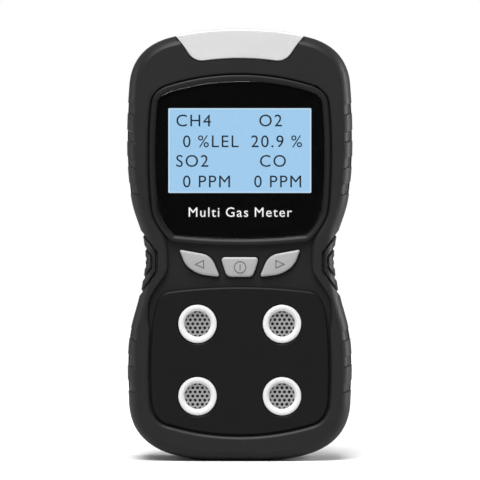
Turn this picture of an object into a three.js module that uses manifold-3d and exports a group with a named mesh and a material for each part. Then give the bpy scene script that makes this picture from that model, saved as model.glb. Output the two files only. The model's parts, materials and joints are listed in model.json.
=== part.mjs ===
// Portable gas detector: a two-shell housing in a rubber boot, with a display, three keys, four gas
// sensors behind ringed ports, an alarm lens across the top and a sprung belt clip on the back.
// Millimetres. +Z is up, +X is to the right of someone facing the display, and the display faces -Y.
// The origin is the middle of the small flat that the body stands on, and y = 0 is the parting plane.

import * as THREE from 'three';
import { mergeVertices } from 'three/addons/utils/BufferGeometryUtils.js';
import Module from 'manifold-3d';

const wasm = await Module();
wasm.setup();

// ---- Driving dimensions ----

// Overall body
const BODY_WIDTH = 75; // widest, across the shoulders
const BODY_HEIGHT = 143.5; // base to the crown of the alarm lens
const BOOT_FRONT = 17.6; // boot face ahead of the parting plane
const BOOT_REAR = 16.8; // boot face behind the parting plane
const WAIST_INSET = 5.7; // how far the grip narrows on each side
const BASE_FLAT = 8; // half width of the flat underneath
const BOOT_EDGE = 4.5; // how far the boot's edge rounding reaches in
const BOOT_EDGE_DEPTH = 5; // how far it reaches back

// Shells
const HOUSING_FRONT = 15.2;
const HOUSING_BACK = 15;
const WALL = 2;
const BOOT_WALL = 3;
const PARTING_GAP = 0.1; // each shell's share of the joint
const FIT = 0.25; // boot to housing, and plates to the faces that carry them
const SEAL_MARGIN = 0.65; // housing edge to the seal
const SEAL_WIDTH = 0.7;
const SEAL_DEPTH = 0.6; // into the rear shell

// Stack of the front, from the base up
const RAIL_BOTTOM = 8.75;
const PANEL_HEIGHT = 49.05;
const KEY_BAND = 13.9;
const TOP_BAND = 15.5; // bezel to the crown
const PANEL_HALF_WIDTH = 29.7;
const BEZEL_HALF_WIDTH = 30.1;
const NECK_HALF_WIDTH = 23.8;
const BEZEL_RIM = 1.95;
const OPENING_GAP = 0.35; // boot edge to bezel
const PANEL_MARGIN = 0.75; // boot edge to sensor cover
const REAR_LIP = 6; // boot's outer edge to its rear opening

// Display
const LCD_WIDTH = 47.4;
const LCD_HEIGHT = 28.1;
const LCD_DROP = 25; // LCD centre below the bezel's top edge
const LCD_BORDER = 2; // glass around the lit area
const LCD_THICKNESS = 1.9;
const WINDOW_THICKNESS = 1.1;
const MASK_THICKNESS = 0.25;
const BEZEL_THICKNESS = 1.9;
const HOLDER_MARGIN = 1.6; // holder beyond the lit area
const HOLDER_WALL = 1.6;
const BACKLIGHT_THICKNESS = 2;

// Gas sensors
const CELL_RADIUS = 10;
const CELL_GAP_X = 8; // between neighbouring cells
const CELL_GAP_Z = 3.95;
const SENSOR_RISE = 0.3; // pattern centre above the cover's centre
const RING_RADIUS = 6.4;
const RING_BORE = 4.26;
const RING_BARREL = 5.7;
const MESH_RADIUS = 4.85;
const MESH_THICKNESS = 0.4;
const CELL_LENGTH = 15;
const COVER_THICKNESS = 1.55;

// Keys
const KEY_TRAVEL = 0.8;
const KEY_PROUD = 1.7;
const KEY_CLEARANCE = 0.3;
const KEY_FLANGE = 0.9;
const KEY_FLANGE_THICKNESS = 0.7;
const MAT_THICKNESS = 0.8;

// Boards, power and signals
const BOARD_THICKNESS = 1.6;
const MAIN_BOARD_HALF_WIDTH = 23;
const MAIN_BOARD_DEPTH = 8.2; // front face ahead of the parting plane
const SENSOR_BOARD_GAP = 0.5; // board edge to the lower bosses
const BATTERY_WIDTH = 36;
const BATTERY_HEIGHT = 54;
const BATTERY_DEPTH = 10;
const LED_RADIUS = 1.5;
const LED_PITCH = 8;
const BUZZER_RADIUS = 6;
const MOTOR_RADIUS = 2.6;

// Fasteners
const SCREW_SHANK = 1.1;
const SCREW_HEAD = 2.2;
const SCREW_HEAD_HEIGHT = 1.4;
const BOSS_RADIUS = 3;
const BOSS_X_TOP = 27;
const BOSS_CLEARANCE = 1.2; // lower bosses to the sensor cells
const BOSS_ANGLE = 37.4 * (Math.PI / 180); // lower bosses below the cells, seen from their centres
const BOSS_GAP = 0.35; // upper bosses to the LCD holder
const SCREW_CLEARANCE = 0.25;

// Alarm lens
const LENS_HALF_TOP = 21.2;
const LENS_HALF_BASE = 15.2;
const LENS_HEIGHT = 10.2;
const LENS_WALL = 2;
const LENS_RECESS = 0.4; // lens face behind the boot face
const LENS_GAP = 0.35;

// Charging port and its flap
const PORT_Z = 22;
const PORT_WIDTH = 9;
const PORT_HEIGHT = 3.2;
const FLAP_WIDTH = 16;
const FLAP_HEIGHT = 11;
const FLAP_THICKNESS = 1.4;
const FLAP_PIN = 0.5;
const FLAP_GAP = 0.3;

// Belt clip
const CLIP_WIDTH = 24;
const CLIP_THICKNESS = 1.2;
const CLIP_LENGTH = 58;
const CLIP_TOP_DROP = 25; // top of the plate below the crown
const CLIP_PIN_RADIUS = 1.5;
const CLIP_PIN_RISE = 3.7; // pin axis behind the plate
const CLIP_PIN_DROP = 13; // pin axis below the top of the plate
const CLIP_GAP = 0.6; // ears to jaw flanges
const BELT_GAP = 6; // plate to jaw
const COIL_WIRE = 0.4; // radius
const COIL_BORE_GAP = 0.4; // coil to the pin
const COIL_TURNS = 5;
const RUNNING = 0.2; // moving hole to pin

// Grip texture of the boot
const NOTCH_HEIGHT = 3.4;
const NOTCH_REACH = 3.2;
const NOTCH_DEPTH = 0.6;
const CHEVRON_WIDTH = 0.8;

// ---- Heights and depths that follow ----

const PANEL_TOP = RAIL_BOTTOM + PANEL_HEIGHT;
const BEZEL_BOTTOM = PANEL_TOP + KEY_BAND;
const BEZEL_TOP = BODY_HEIGHT - TOP_BAND;
const WAIST_Z = PANEL_TOP + 10.9;
const GRIP_Z = PANEL_TOP + 8.2; // middle of the grip's chevrons
const KEY_Z = PANEL_TOP + 6.6;
const LCD_Z = BEZEL_TOP - LCD_DROP;
const SENSOR_Z = RAIL_BOTTOM + PANEL_HEIGHT / 2 + SENSOR_RISE;
const HALF_WIDTH = BODY_WIDTH / 2;
const FACE = -HOUSING_FRONT;
const INNER_FACE = FACE + WALL;
const INNER_BACK = HOUSING_BACK - WALL;
const COVER_BACK = FACE - 0.15;
const COVER_FACE = COVER_BACK - COVER_THICKNESS;
const MASK_BACK = FACE - 0.15;
const WINDOW_BACK = MASK_BACK - MASK_THICKNESS - 0.05;
const LCD_FRONT = FACE - 0.05;
const LCD_BACK = LCD_FRONT + LCD_THICKNESS;
const BOARD_FRONT = -MAIN_BOARD_DEPTH;
const BOARD_BACK = BOARD_FRONT + BOARD_THICKNESS;
const BOARD_BOTTOM = PANEL_TOP + 2.2;
const BOARD_TOP = BEZEL_TOP - 1;
const FLANGE_FRONT = INNER_FACE + 0.1;
const FLANGE_BACK = FLANGE_FRONT + KEY_FLANGE_THICKNESS;
const MAT_FRONT = FLANGE_BACK + KEY_TRAVEL + 0.15;
const MAT_BACK = MAT_FRONT + MAT_THICKNESS;
const CELL_FRONT = INNER_FACE + 0.4;
const CELL_BACK = CELL_FRONT + CELL_LENGTH;
const SENSOR_BOARD_FRONT = CELL_BACK + 1.2;
const SENSOR_BOARD_BACK = SENSOR_BOARD_FRONT + BOARD_THICKNESS;
const PLATE_FRONT = HOUSING_BACK + 0.05;
const PLATE_BACK = PLATE_FRONT + CLIP_THICKNESS;
const PLATE_TOP = BODY_HEIGHT - CLIP_TOP_DROP;
const PIN_Y = PLATE_BACK + CLIP_PIN_RISE;
const PIN_Z = PLATE_TOP - CLIP_PIN_DROP;
const COIL_RADIUS = CLIP_PIN_RADIUS + COIL_BORE_GAP + 2 * COIL_WIRE; // outside

const SENSOR_PITCH_X = 2 * CELL_RADIUS + CELL_GAP_X;
const SENSOR_PITCH_Z = 2 * CELL_RADIUS + CELL_GAP_Z;
const SENSORS = [[-1, 1], [1, 1], [-1, -1], [1, -1]].map(([sideX, sideZ]) => ({
  x: (sideX * SENSOR_PITCH_X) / 2,
  z: SENSOR_Z + (sideZ * SENSOR_PITCH_Z) / 2,
}));
const BOSS_TOP_Z = LCD_Z + LCD_HEIGHT / 2 + HOLDER_MARGIN + BOSS_GAP + BOSS_RADIUS;
const BOSS_REACH = CELL_RADIUS + BOSS_CLEARANCE + BOSS_RADIUS;
const BOSS_X_BASE = SENSOR_PITCH_X / 2 + BOSS_REACH * Math.cos(BOSS_ANGLE);
const BOSS_BASE_Z = SENSOR_Z - SENSOR_PITCH_Z / 2 - BOSS_REACH * Math.sin(BOSS_ANGLE);
const BOSSES = [[-1, 1], [1, 1], [-1, -1], [1, -1]].map(([sideX, sideZ]) => ({
  x: sideX * (sideZ > 0 ? BOSS_X_TOP : BOSS_X_BASE),
  z: sideZ > 0 ? BOSS_TOP_Z : BOSS_BASE_Z,
}));
const CLIP_SCREWS = [PIN_Z - 8, PIN_Z - 30];
const LEDS = [-LED_PITCH, 0, LED_PITCH];

// ---- Solids ----

function solid(geometry) {
  const bare = geometry.clone();
  bare.deleteAttribute('normal');
  bare.deleteAttribute('uv');
  const merged = mergeVertices(bare, 1e-4);
  const corners = merged.index.array;
  const kept = [];
  for (let i = 0; i < corners.length; i += 3) {
    const [a, b, c] = [corners[i], corners[i + 1], corners[i + 2]];
    if (a !== b && b !== c && c !== a) kept.push(a, b, c);
  }
  const vertProperties = new Float32Array(merged.attributes.position.array);
  return new wasm.Manifold(new wasm.Mesh({ numProp: 3, vertProperties, triVerts: new Uint32Array(kept) }));
}

function join(first, ...others) {
  return others.reduce((whole, next) => whole.add(next), first);
}

function cut(first, ...others) {
  return others.reduce((whole, next) => whole.subtract(next), first);
}

function geometryOf(manifold) {
  const mesh = manifold.getMesh();
  const geometry = new THREE.BufferGeometry();
  geometry.setAttribute('position', new THREE.BufferAttribute(mesh.vertProperties, 3));
  geometry.setIndex(new THREE.BufferAttribute(mesh.triVerts, 1));
  geometry.computeVertexNormals();
  return geometry;
}

// An outline in X and Z carried from y = front to y = back, with both edges rounded when asked.
function plate(points, front, back, { holes = [], edge = 0, edgeDepth = 0, edgeSteps = 1 } = {}) {
  const shape = new THREE.Shape(points);
  shape.holes = holes.map((hole) => new THREE.Path(hole));
  const geometry = new THREE.ExtrudeGeometry(shape, {
    depth: back - front - 2 * edgeDepth,
    bevelEnabled: edge > 0,
    bevelSize: edge,
    bevelOffset: -edge,
    bevelThickness: edgeDepth,
    bevelSegments: edgeSteps,
  });
  geometry.rotateX(Math.PI / 2);
  geometry.translate(0, back - edgeDepth, 0);
  return solid(geometry);
}

// An outline in Y and Z carried from x = left to x = right.
function slab(points, left, right) {
  const geometry = new THREE.ExtrudeGeometry(new THREE.Shape(points), {
    depth: right - left,
    bevelEnabled: false,
  });
  const turn = new THREE.Matrix4().makeBasis(
    new THREE.Vector3(0, 1, 0),
    new THREE.Vector3(0, 0, 1),
    new THREE.Vector3(1, 0, 0),
  );
  geometry.applyMatrix4(turn);
  geometry.translate(left, 0, 0);
  return solid(geometry);
}

function box(x0, x1, y0, y1, z0, z1) {
  const geometry = new THREE.BoxGeometry(x1 - x0, y1 - y0, z1 - z0);
  geometry.translate((x0 + x1) / 2, (y0 + y1) / 2, (z0 + z1) / 2);
  return solid(geometry);
}

// A profile of [radius, y] turned about the Y axis; the profile is given from front to back on the
// outside, and closes on itself or on the axis.
function turned(profile, x, z, sides = 16) {
  const points = profile.map(([radius, y]) => new THREE.Vector2(radius, y));
  const geometry = new THREE.LatheGeometry(points, sides);
  geometry.translate(x, 0, z);
  return solid(geometry);
}

function rod(radius, front, back, x, z, sides = 16) {
  return turned([[0, front], [radius, front], [radius, back], [0, back]], x, z, sides);
}

// The same as turned, about an axis along X at height z and depth y.
function turnedAlongX(profile, y, z, sides = 16) {
  const points = profile.map(([radius, along]) => new THREE.Vector2(radius, along));
  const geometry = new THREE.LatheGeometry(points, sides);
  geometry.rotateZ(-Math.PI / 2);
  geometry.translate(0, y, z);
  return solid(geometry);
}

function rodAlongX(radius, left, right, y, z, sides = 16) {
  return turnedAlongX([[0, left], [radius, left], [radius, right], [0, right]], y, z, sides);
}

// ---- Outlines ----

const point = (x, z) => new THREE.Vector2(x, z);

// The right half of a symmetric outline, from its foot to its head on the centre line, made whole.
function mirrored(path, divisions) {
  const right = path.getPoints(divisions);
  const left = right.slice(1, -1).reverse().map((p) => point(-p.x, p.y));
  return [...right, ...left];
}

// An anticlockwise outline moved in by a distance, or out by a negative one.
function inset(points, distance) {
  const count = points.length;
  const normal = (a, b) => point(b.y - a.y, a.x - b.x).normalize();
  return points.map((p, i) => {
    const before = normal(points[(i + count - 1) % count], p);
    const after = normal(p, points[(i + 1) % count]);
    const middle = before.clone().add(after).normalize();
    return p.clone().addScaledVector(middle, -distance / middle.dot(after));
  });
}

// Corners of [x, z, reach]: each is rounded from reach before it to reach after it.
function rounded(corners, divisions = 2) {
  const path = new THREE.Path();
  corners.forEach(([x, z, reach], i) => {
    const corner = point(x, z);
    const [beforeX, beforeZ] = corners[(i + corners.length - 1) % corners.length];
    const [afterX, afterZ] = corners[(i + 1) % corners.length];
    const start = corner.clone().add(point(beforeX - x, beforeZ - z).setLength(reach));
    const end = corner.clone().add(point(afterX - x, afterZ - z).setLength(reach));
    if (i === 0) path.moveTo(start.x, start.y);
    else path.lineTo(start.x, start.y);
    path.quadraticCurveTo(x, z, end.x, end.y);
  });
  return path.getPoints(divisions);
}

function rectangle(x0, x1, z0, z1, reach) {
  return rounded([[x0, z0, reach], [x1, z0, reach], [x1, z1, reach], [x0, z1, reach]]);
}

function circle(x, z, radius, sides = 16) {
  return arc(x, z, radius, 0, 2 * Math.PI, sides).slice(0, sides);
}

function arc(x, z, radius, start, end, divisions) {
  return new THREE.EllipseCurve(x, z, radius, radius, start, end).getPoints(divisions);
}

// A bent strip of even thickness about a centre line in Y and Z.
function strip(line, thickness) {
  const side = (direction) => line.map((p, i) => {
    const before = line[Math.max(i - 1, 0)];
    const after = line[Math.min(i + 1, line.length - 1)];
    const across = point(after.y - before.y, before.x - after.x).setLength(thickness / 2);
    return p.clone().addScaledVector(across, direction);
  });
  return [...side(1), ...side(-1).reverse()];
}

function silhouette(divisions = 4) {
  const half = HALF_WIDTH;
  const waist = half - WAIST_INSET;
  const corner = 21;
  const hip = WAIST_Z - 25.7;
  const top = BODY_HEIGHT;
  const path = new THREE.Path();
  path.moveTo(0, 0);
  path.lineTo(BASE_FLAT, 0);
  path.bezierCurveTo(half - 11.5, 0.6, half - 0.4, 6, half - 0.6, corner);
  path.bezierCurveTo(half, corner + 8, half, hip - 6, half - 1.1, hip);
  path.bezierCurveTo(half - 2.3, hip + 7.5, waist + 0.4, WAIST_Z - 14.7, waist, WAIST_Z);
  path.bezierCurveTo(waist, WAIST_Z + 8.8, half - 2.2, WAIST_Z + 11.3, half - 1.1, WAIST_Z + 20.3);
  path.bezierCurveTo(half - 0.4, WAIST_Z + 26.3, half, top - 44.5, half, top - 37.5);
  path.bezierCurveTo(half, top - 29.5, half - 0.3, top - 24.5, half - 0.7, top - 19.2);
  path.bezierCurveTo(half - 1.1, top - 10.5, half - 6, top - 4.5, half - 15.75, top - 2.45);
  path.quadraticCurveTo(12, top, 0, top);
  return mirrored(path, divisions);
}

function lensOutline() {
  const top = BODY_HEIGHT;
  const foot = top - LENS_HEIGHT;
  const path = new THREE.Path();
  path.moveTo(0, foot);
  path.quadraticCurveTo(6, foot, LENS_HALF_BASE - 3.5, foot - 0.8);
  path.quadraticCurveTo(LENS_HALF_BASE, foot - 1.2, LENS_HALF_BASE + 2.1, foot + 1.8);
  path.lineTo(LENS_HALF_TOP, top - 2.2);
  path.quadraticCurveTo(12, top, 0, top);
  return mirrored(path, 4);
}

// The housing stops short of the boot, and dips under the alarm lens between two shoulders.
function housingOutline() {
  const shell = inset(silhouette(), BOOT_WALL + FIT);
  const pocket = inset(lensOutline(), -LENS_GAP);
  const reach = LENS_HALF_TOP + 0.6;
  const side = shell.filter((p) => p.x >= 0 && (p.x > reach || p.y < BODY_HEIGHT / 2));
  const dip = pocket.filter((p) => p.x >= 0 && p.y < BODY_HEIGHT - 5).reverse();
  const right = [...side, ...dip];
  const left = right.filter((p) => p.x > 0.01).reverse().map((p) => point(-p.x, p.y));
  return [...right, ...left];
}

function bezelOutline() {
  const half = BEZEL_HALF_WIDTH;
  const [foot, top] = [BEZEL_BOTTOM, BEZEL_TOP];
  const path = new THREE.Path();
  path.moveTo(0, foot);
  path.quadraticCurveTo(11, foot, half - 8.2, foot + 1.2);
  path.bezierCurveTo(half - 5.9, foot + 1.6, half - 2.1, foot + 6.9, half - 1.1, foot + 11.1);
  path.bezierCurveTo(half - 0.2, foot + 18.3, half + 0.5, top - 22, half - 0.9, top - 9.5);
  path.quadraticCurveTo(half - 1, top - 5.4, half - 6.3, top - 3.6);
  path.quadraticCurveTo(12, top, 0, top);
  return mirrored(path, 4);
}

function windowOutline() {
  return inset(bezelOutline(), BEZEL_RIM);
}

function coverOutline() {
  const half = PANEL_HALF_WIDTH;
  const [foot, top] = [RAIL_BOTTOM, PANEL_TOP];
  const path = new THREE.Path();
  path.moveTo(0, foot);
  path.quadraticCurveTo(12, foot, half - 5.7, foot + 3.6);
  path.quadraticCurveTo(half - 1.5, foot + 4.8, half - 0.5, foot + 10.2);
  path.bezierCurveTo(half + 0.1, foot + 17.2, half + 0.1, top - 20.8, half - 0.8, top - 11.8);
  path.quadraticCurveTo(half - 1.6, top - 2, half - 6.5, top - 1.5);
  path.quadraticCurveTo(12, top, 0, top);
  return mirrored(path, 4);
}

// The narrow part of the boot's front opening, with the keys in it, flaring out over the cover.
function neckOutline() {
  const half = NECK_HALF_WIDTH;
  const right = [
    [PANEL_HALF_WIDTH + 0.6, PANEL_TOP - 12],
    [PANEL_HALF_WIDTH + 0.4, PANEL_TOP - 4.3],
    [half + 3.3, PANEL_TOP + 0.6],
    [half, PANEL_TOP + 5],
    [half, BEZEL_BOTTOM - 2.3],
    [half + 0.9, BEZEL_BOTTOM + 4],
  ];
  return [...right, ...right.map(([x, z]) => [-x, z]).reverse()].map(([x, z]) => point(x, z));
}

function powerKeyOutline() {
  const [foot, top] = [KEY_Z - 3.25, KEY_Z + 3.25];
  return rounded([[-4.3, foot, 1.6], [4.3, foot, 1.6], [6.4, top, 1.7], [-6.4, top, 1.7]]);
}

function sideKeyOutline(side) {
  const corners = [
    [6.6, -3.3, 0.8],
    [13.9, -2.4, 3.2],
    [18, 0.5, 1.7],
    [20.1, 5.8, 1],
    [9.6, 3.9, 1.6],
  ].map(([x, z, reach]) => [side * x, KEY_Z + z, reach]);
  return rounded(side > 0 ? corners : corners.reverse());
}

const KEYS = [
  { name: 'left', x: -13, outline: sideKeyOutline(-1) },
  { name: 'power', x: 0, outline: powerKeyOutline() },
  { name: 'right', x: 13, outline: sideKeyOutline(1) },
];

// ---- Boot ----

function bootBody(depth) {
  return plate(inset(silhouette(), depth), depth - BOOT_FRONT, BOOT_REAR - depth, {
    edge: BOOT_EDGE,
    edgeDepth: BOOT_EDGE_DEPTH,
    edgeSteps: 3,
  });
}

function frontOpening() {
  const [front, back] = [-BOOT_FRONT - 1, 0];
  return join(
    plate(inset(bezelOutline(), -OPENING_GAP), front, back),
    plate(inset(coverOutline(), -PANEL_MARGIN), front, back),
    plate(neckOutline(), front, back),
  );
}

function lensPocket() {
  return plate(inset(lensOutline(), -LENS_GAP), -BOOT_FRONT - 1, HOUSING_BACK + FIT);
}

function gripBars() {
  const upper = [0, 1, 2, 3].map((i) => BODY_HEIGHT - 26.2 - 8.9 * i);
  const lower = [0, 1, 2].map((i) => WAIST_Z - 26.3 - 8.6 * i);
  return [...upper, ...lower].flatMap((z) => [-1, 1].map((side) => {
    const [inner, outer] = [side * (HALF_WIDTH - NOTCH_REACH), side * (HALF_WIDTH + 1)];
    const low = Math.min(inner, outer);
    const high = Math.max(inner, outer);
    return box(low, high, -BOOT_FRONT - 1, -6, z - NOTCH_HEIGHT / 2, z + NOTCH_HEIGHT / 2);
  }));
}

// Nested chevrons with short flat noses, each open towards the side of the grip.
function gripChevrons() {
  const waist = HALF_WIDTH - WAIST_INSET;
  const noses = [[waist - 4.3, 2], [waist - 2.4, 1.4], [waist - 0.6, 0.6]];
  return noses.flatMap(([nose, flat]) => [-1, 1].map((side) => {
    const arm = HALF_WIDTH - nose;
    const line = [[arm, -flat - arm], [0, -flat], [0, flat], [arm, flat + arm]];
    const outer = line.map(([x, z]) => point(side * (nose + x), GRIP_Z + z));
    const inner = line.map(([x, z]) => point(side * (nose + x + CHEVRON_WIDTH), GRIP_Z + z)).reverse();
    const outline = [...outer, ...inner];
    return plate(side > 0 ? outline.reverse() : outline, -BOOT_FRONT - 1, -6);
  }));
}

function protectiveBoot() {
  const cavity = plate(inset(silhouette(), BOOT_WALL), FACE - FIT, HOUSING_BACK + FIT);
  const rearOpening = plate(inset(silhouette(), REAR_LIP), 0, BOOT_REAR + 1);
  const grip = cut(join(...gripBars(), ...gripChevrons()), bootBody(NOTCH_DEPTH));
  return cut(bootBody(0), cavity, frontOpening(), rearOpening, lensPocket(), grip);
}

// ---- Housing ----

// The seal lies in a groove of the rear shell, and the front shell closes on it.
function sealGroove() {
  const outline = housingOutline();
  return plate(inset(outline, SEAL_MARGIN - 0.15), 0, SEAL_DEPTH + 0.15, {
    holes: [inset(outline, SEAL_MARGIN + SEAL_WIDTH + 0.15)],
  });
}

function housingSeal() {
  const outline = housingOutline();
  return plate(inset(outline, SEAL_MARGIN), -PARTING_GAP / 2, SEAL_DEPTH, {
    holes: [inset(outline, SEAL_MARGIN + SEAL_WIDTH)],
  });
}

function frontHousing() {
  const outline = housingOutline();
  const shell = cut(
    plate(outline, FACE, -PARTING_GAP),
    plate(inset(outline, WALL), INNER_FACE, 1),
  );
  const bosses = BOSSES.map(({ x, z }) => rod(BOSS_RADIUS, INNER_FACE - 0.5, -PARTING_GAP, x, z, 12));
  const pilots = BOSSES.map(({ x, z }) => rod(SCREW_SHANK + 0.1, -8, 1, x, z, 8));
  const display = plate(displayCut(), FACE - 1, INNER_FACE + 1);
  const keyHoles = KEYS.map(({ outline: key }) => (
    plate(inset(key, -KEY_CLEARANCE), FACE - 1, INNER_FACE + 1)
  ));
  const ports = SENSORS.map(({ x, z }) => rod(RING_BARREL + 0.3, FACE - 1, INNER_FACE + 1, x, z));
  const ledHoles = LEDS.map((x) => upright(LED_RADIUS + 0.4, BODY_HEIGHT - 16, BODY_HEIGHT - 8, x, 8));
  return cut(join(shell, ...bosses), ...pilots, display, ...keyHoles, ...ports, ...ledHoles);
}

function displayCut() {
  const [halfX, halfZ] = [LCD_WIDTH / 2 + LCD_BORDER + FIT, LCD_HEIGHT / 2 + LCD_BORDER + FIT];
  return rectangle(-halfX, halfX, LCD_Z - halfZ, LCD_Z + halfZ, 1);
}

// A rod along Z at the depth of the LEDs.
function upright(radius, foot, top, x, sides) {
  const points = [[0, foot], [radius, foot], [radius, top], [0, top]].map(([r, z]) => point(r, z));
  const geometry = new THREE.LatheGeometry(points, sides);
  geometry.rotateX(Math.PI / 2);
  geometry.translate(x, (BOARD_FRONT + BOARD_BACK) / 2, 0);
  return solid(geometry);
}

function flapRecess(gap) {
  const half = FLAP_WIDTH / 2 + gap;
  return rectangle(-half, half, PORT_Z - 5.3 - gap, PORT_Z - 5.3 + FLAP_HEIGHT + 2 + gap, 1.2);
}

function rearHousing() {
  const outline = housingOutline();
  const shell = cut(
    plate(outline, PARTING_GAP, HOUSING_BACK),
    plate(inset(outline, WALL), -1, INNER_BACK),
  );
  const bosses = BOSSES.map(({ x, z }) => rod(BOSS_RADIUS, PARTING_GAP, INNER_BACK + 0.5, x, z, 12));
  const clipBosses = CLIP_SCREWS.map((z) => rod(BOSS_RADIUS, INNER_BACK - 2.3, INNER_BACK + 0.5, 0, z, 12));
  const portPad = plate(inset(flapRecess(0), -2), INNER_BACK - 1.8, INNER_BACK + 0.5);
  const shanks = BOSSES.map(({ x, z }) => rod(SCREW_SHANK + SCREW_CLEARANCE, -1, HOUSING_BACK + 1, x, z, 8));
  const heads = BOSSES.map(({ x, z }) => (
    rod(SCREW_HEAD + SCREW_CLEARANCE, HOUSING_BACK - SCREW_HEAD_HEIGHT - 0.3, HOUSING_BACK + 1, x, z, 12)
  ));
  const clipHoles = CLIP_SCREWS.map((z) => (
    rod(SCREW_SHANK + SCREW_CLEARANCE, INNER_BACK - 3, HOUSING_BACK + 1, 0, z, 8)
  ));
  const recess = plate(flapRecess(FLAP_GAP), HOUSING_BACK - FLAP_THICKNESS - 0.5, HOUSING_BACK + 1);
  const [halfX, halfZ] = [PORT_WIDTH / 2 + FIT, PORT_HEIGHT / 2 + FIT];
  const port = plate(
    rectangle(-halfX, halfX, PORT_Z - halfZ, PORT_Z + halfZ, 1.4),
    INNER_BACK - 3,
    HOUSING_BACK,
  );
  const pinHole = rodAlongX(FLAP_PIN + 0.1, -FLAP_WIDTH / 2 - 1.6, FLAP_WIDTH / 2 + 1.6, flapPinY(), flapPinZ(), 10);
  return cut(
    join(shell, ...bosses, ...clipBosses, portPad),
    ...shanks, ...heads, ...clipHoles, recess, port, pinHole, sealGroove(),
  );
}

// ---- Alarm lens and its lamps ----

function alarmLens() {
  const body = plate(lensOutline(), LENS_RECESS - BOOT_FRONT, HOUSING_BACK - 0.1).intersect(bootBody(0));
  const [front, back] = [LENS_RECESS - BOOT_FRONT + LENS_WALL, HOUSING_BACK - LENS_WALL];
  const hollow = plate(inset(lensOutline(), LENS_WALL), front, back);
  const half = LENS_HALF_BASE - 4;
  const mouth = box(-half, half, front, back, BODY_HEIGHT - LENS_HEIGHT - 3, BODY_HEIGHT - LENS_HEIGHT + 3);
  return cut(body, hollow, mouth);
}

function alarmLed(x) {
  const foot = BOARD_TOP + 0.2;
  return join(
    upright(LED_RADIUS, foot, BODY_HEIGHT - LENS_HEIGHT + 2.4, x, 10),
    upright(LED_RADIUS + 0.35, foot, foot + 1, x, 10),
  );
}

// ---- Display ----

function displayBezel() {
  const back = FACE - 0.15;
  return plate(bezelOutline(), back - BEZEL_THICKNESS, back, { holes: [inset(bezelOutline(), BEZEL_RIM)] });
}

function displayWindow() {
  return plate(inset(windowOutline(), 0.1), WINDOW_BACK - WINDOW_THICKNESS, WINDOW_BACK);
}

function windowMask() {
  const [halfX, halfZ] = [LCD_WIDTH / 2, LCD_HEIGHT / 2];
  const sight = rectangle(-halfX, halfX, LCD_Z - halfZ, LCD_Z + halfZ, 0.4);
  return plate(inset(windowOutline(), 0.1), MASK_BACK - MASK_THICKNESS, MASK_BACK, { holes: [sight] });
}

function lcdSheet(margin, front, back) {
  const [halfX, halfZ] = [LCD_WIDTH / 2 + margin, LCD_HEIGHT / 2 + margin];
  return plate(rectangle(-halfX, halfX, LCD_Z - halfZ, LCD_Z + halfZ, 0.8), front, back);
}

function lcdHolder() {
  return cut(
    lcdSheet(HOLDER_MARGIN, LCD_BACK + 0.25, BOARD_FRONT - 0.1),
    lcdSheet(HOLDER_MARGIN - HOLDER_WALL, LCD_BACK - 1, BOARD_FRONT + 1),
  );
}

// ---- Gas sensors ----

function sensorCover() {
  const holes = SENSORS.map(({ x, z }) => circle(x, z, RING_RADIUS + 0.35));
  return plate(coverOutline(), COVER_FACE, COVER_BACK, { holes });
}

function sensorRing({ x, z }) {
  const face = COVER_FACE + 0.15;
  const back = INNER_FACE + 0.2;
  const profile = [
    [RING_RADIUS - 0.4, face],
    [RING_RADIUS, face + 0.4],
    [RING_RADIUS, COVER_BACK],
    [RING_BARREL, COVER_BACK],
    [RING_BARREL, back],
    [MESH_RADIUS + 0.1, back],
    [MESH_RADIUS + 0.1, face + 1.5],
    [RING_BORE, face + 1.5],
    [RING_BORE, face + 0.7],
    [RING_BORE + 0.7, face],
    [RING_RADIUS - 0.4, face],
  ];
  return turned(profile, x, z);
}

function sensorMesh({ x, z }) {
  const front = COVER_FACE + 1.7;
  return rod(MESH_RADIUS, front, front + MESH_THICKNESS, x, z);
}

function sensorSeal({ x, z }) {
  const front = COVER_FACE + 1.75 + MESH_THICKNESS;
  const back = INNER_FACE - 0.1;
  const [outer, inner] = [MESH_RADIUS - 0.05, MESH_RADIUS - 1.4];
  return turned([[outer, front], [outer, back], [inner, back], [inner, front], [outer, front]], x, z, 12);
}

function sensorCell({ x, z }) {
  const profile = [
    [0, CELL_FRONT - 0.3],
    [RING_BORE, CELL_FRONT - 0.3],
    [RING_BORE, CELL_FRONT],
    [CELL_RADIUS, CELL_FRONT],
    [CELL_RADIUS, CELL_BACK],
    [CELL_RADIUS - 3, CELL_BACK],
    [CELL_RADIUS - 3, SENSOR_BOARD_FRONT - 0.1],
    [0, SENSOR_BOARD_FRONT - 0.1],
  ];
  return turned(profile, x, z);
}

// ---- Keys ----

function keyCap({ outline }) {
  const cap = plate(outline, FACE - KEY_PROUD, FLANGE_FRONT + 0.3);
  return join(cap, plate(inset(outline, -KEY_FLANGE), FLANGE_FRONT, FLANGE_BACK));
}

function keypadMat() {
  const [halfX, halfZ] = [MAIN_BOARD_HALF_WIDTH - 1, 5.6];
  const pad = plate(rectangle(-halfX, halfX, KEY_Z - 4.2, KEY_Z + halfZ + 1, 1.5), MAT_FRONT, MAT_BACK);
  const domes = KEYS.map(({ x }) => turned([
    [0, MAT_FRONT + 0.1], [2.2, MAT_FRONT + 0.1], [1.6, MAT_BACK + 0.5], [0, MAT_BACK + 0.5],
  ], x, KEY_Z + 0.4, 14));
  return join(pad, ...domes);
}

function keySwitch({ x }) {
  const z = KEY_Z + 0.4;
  const top = MAT_BACK + 0.6;
  return join(
    box(x - 2.2, x + 2.2, top + 0.4, BOARD_FRONT - 0.05, z - 2.2, z + 2.2),
    rod(1.4, top, top + 0.6, x, z, 14),
  );
}

// ---- Boards, power and signals ----

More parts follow.
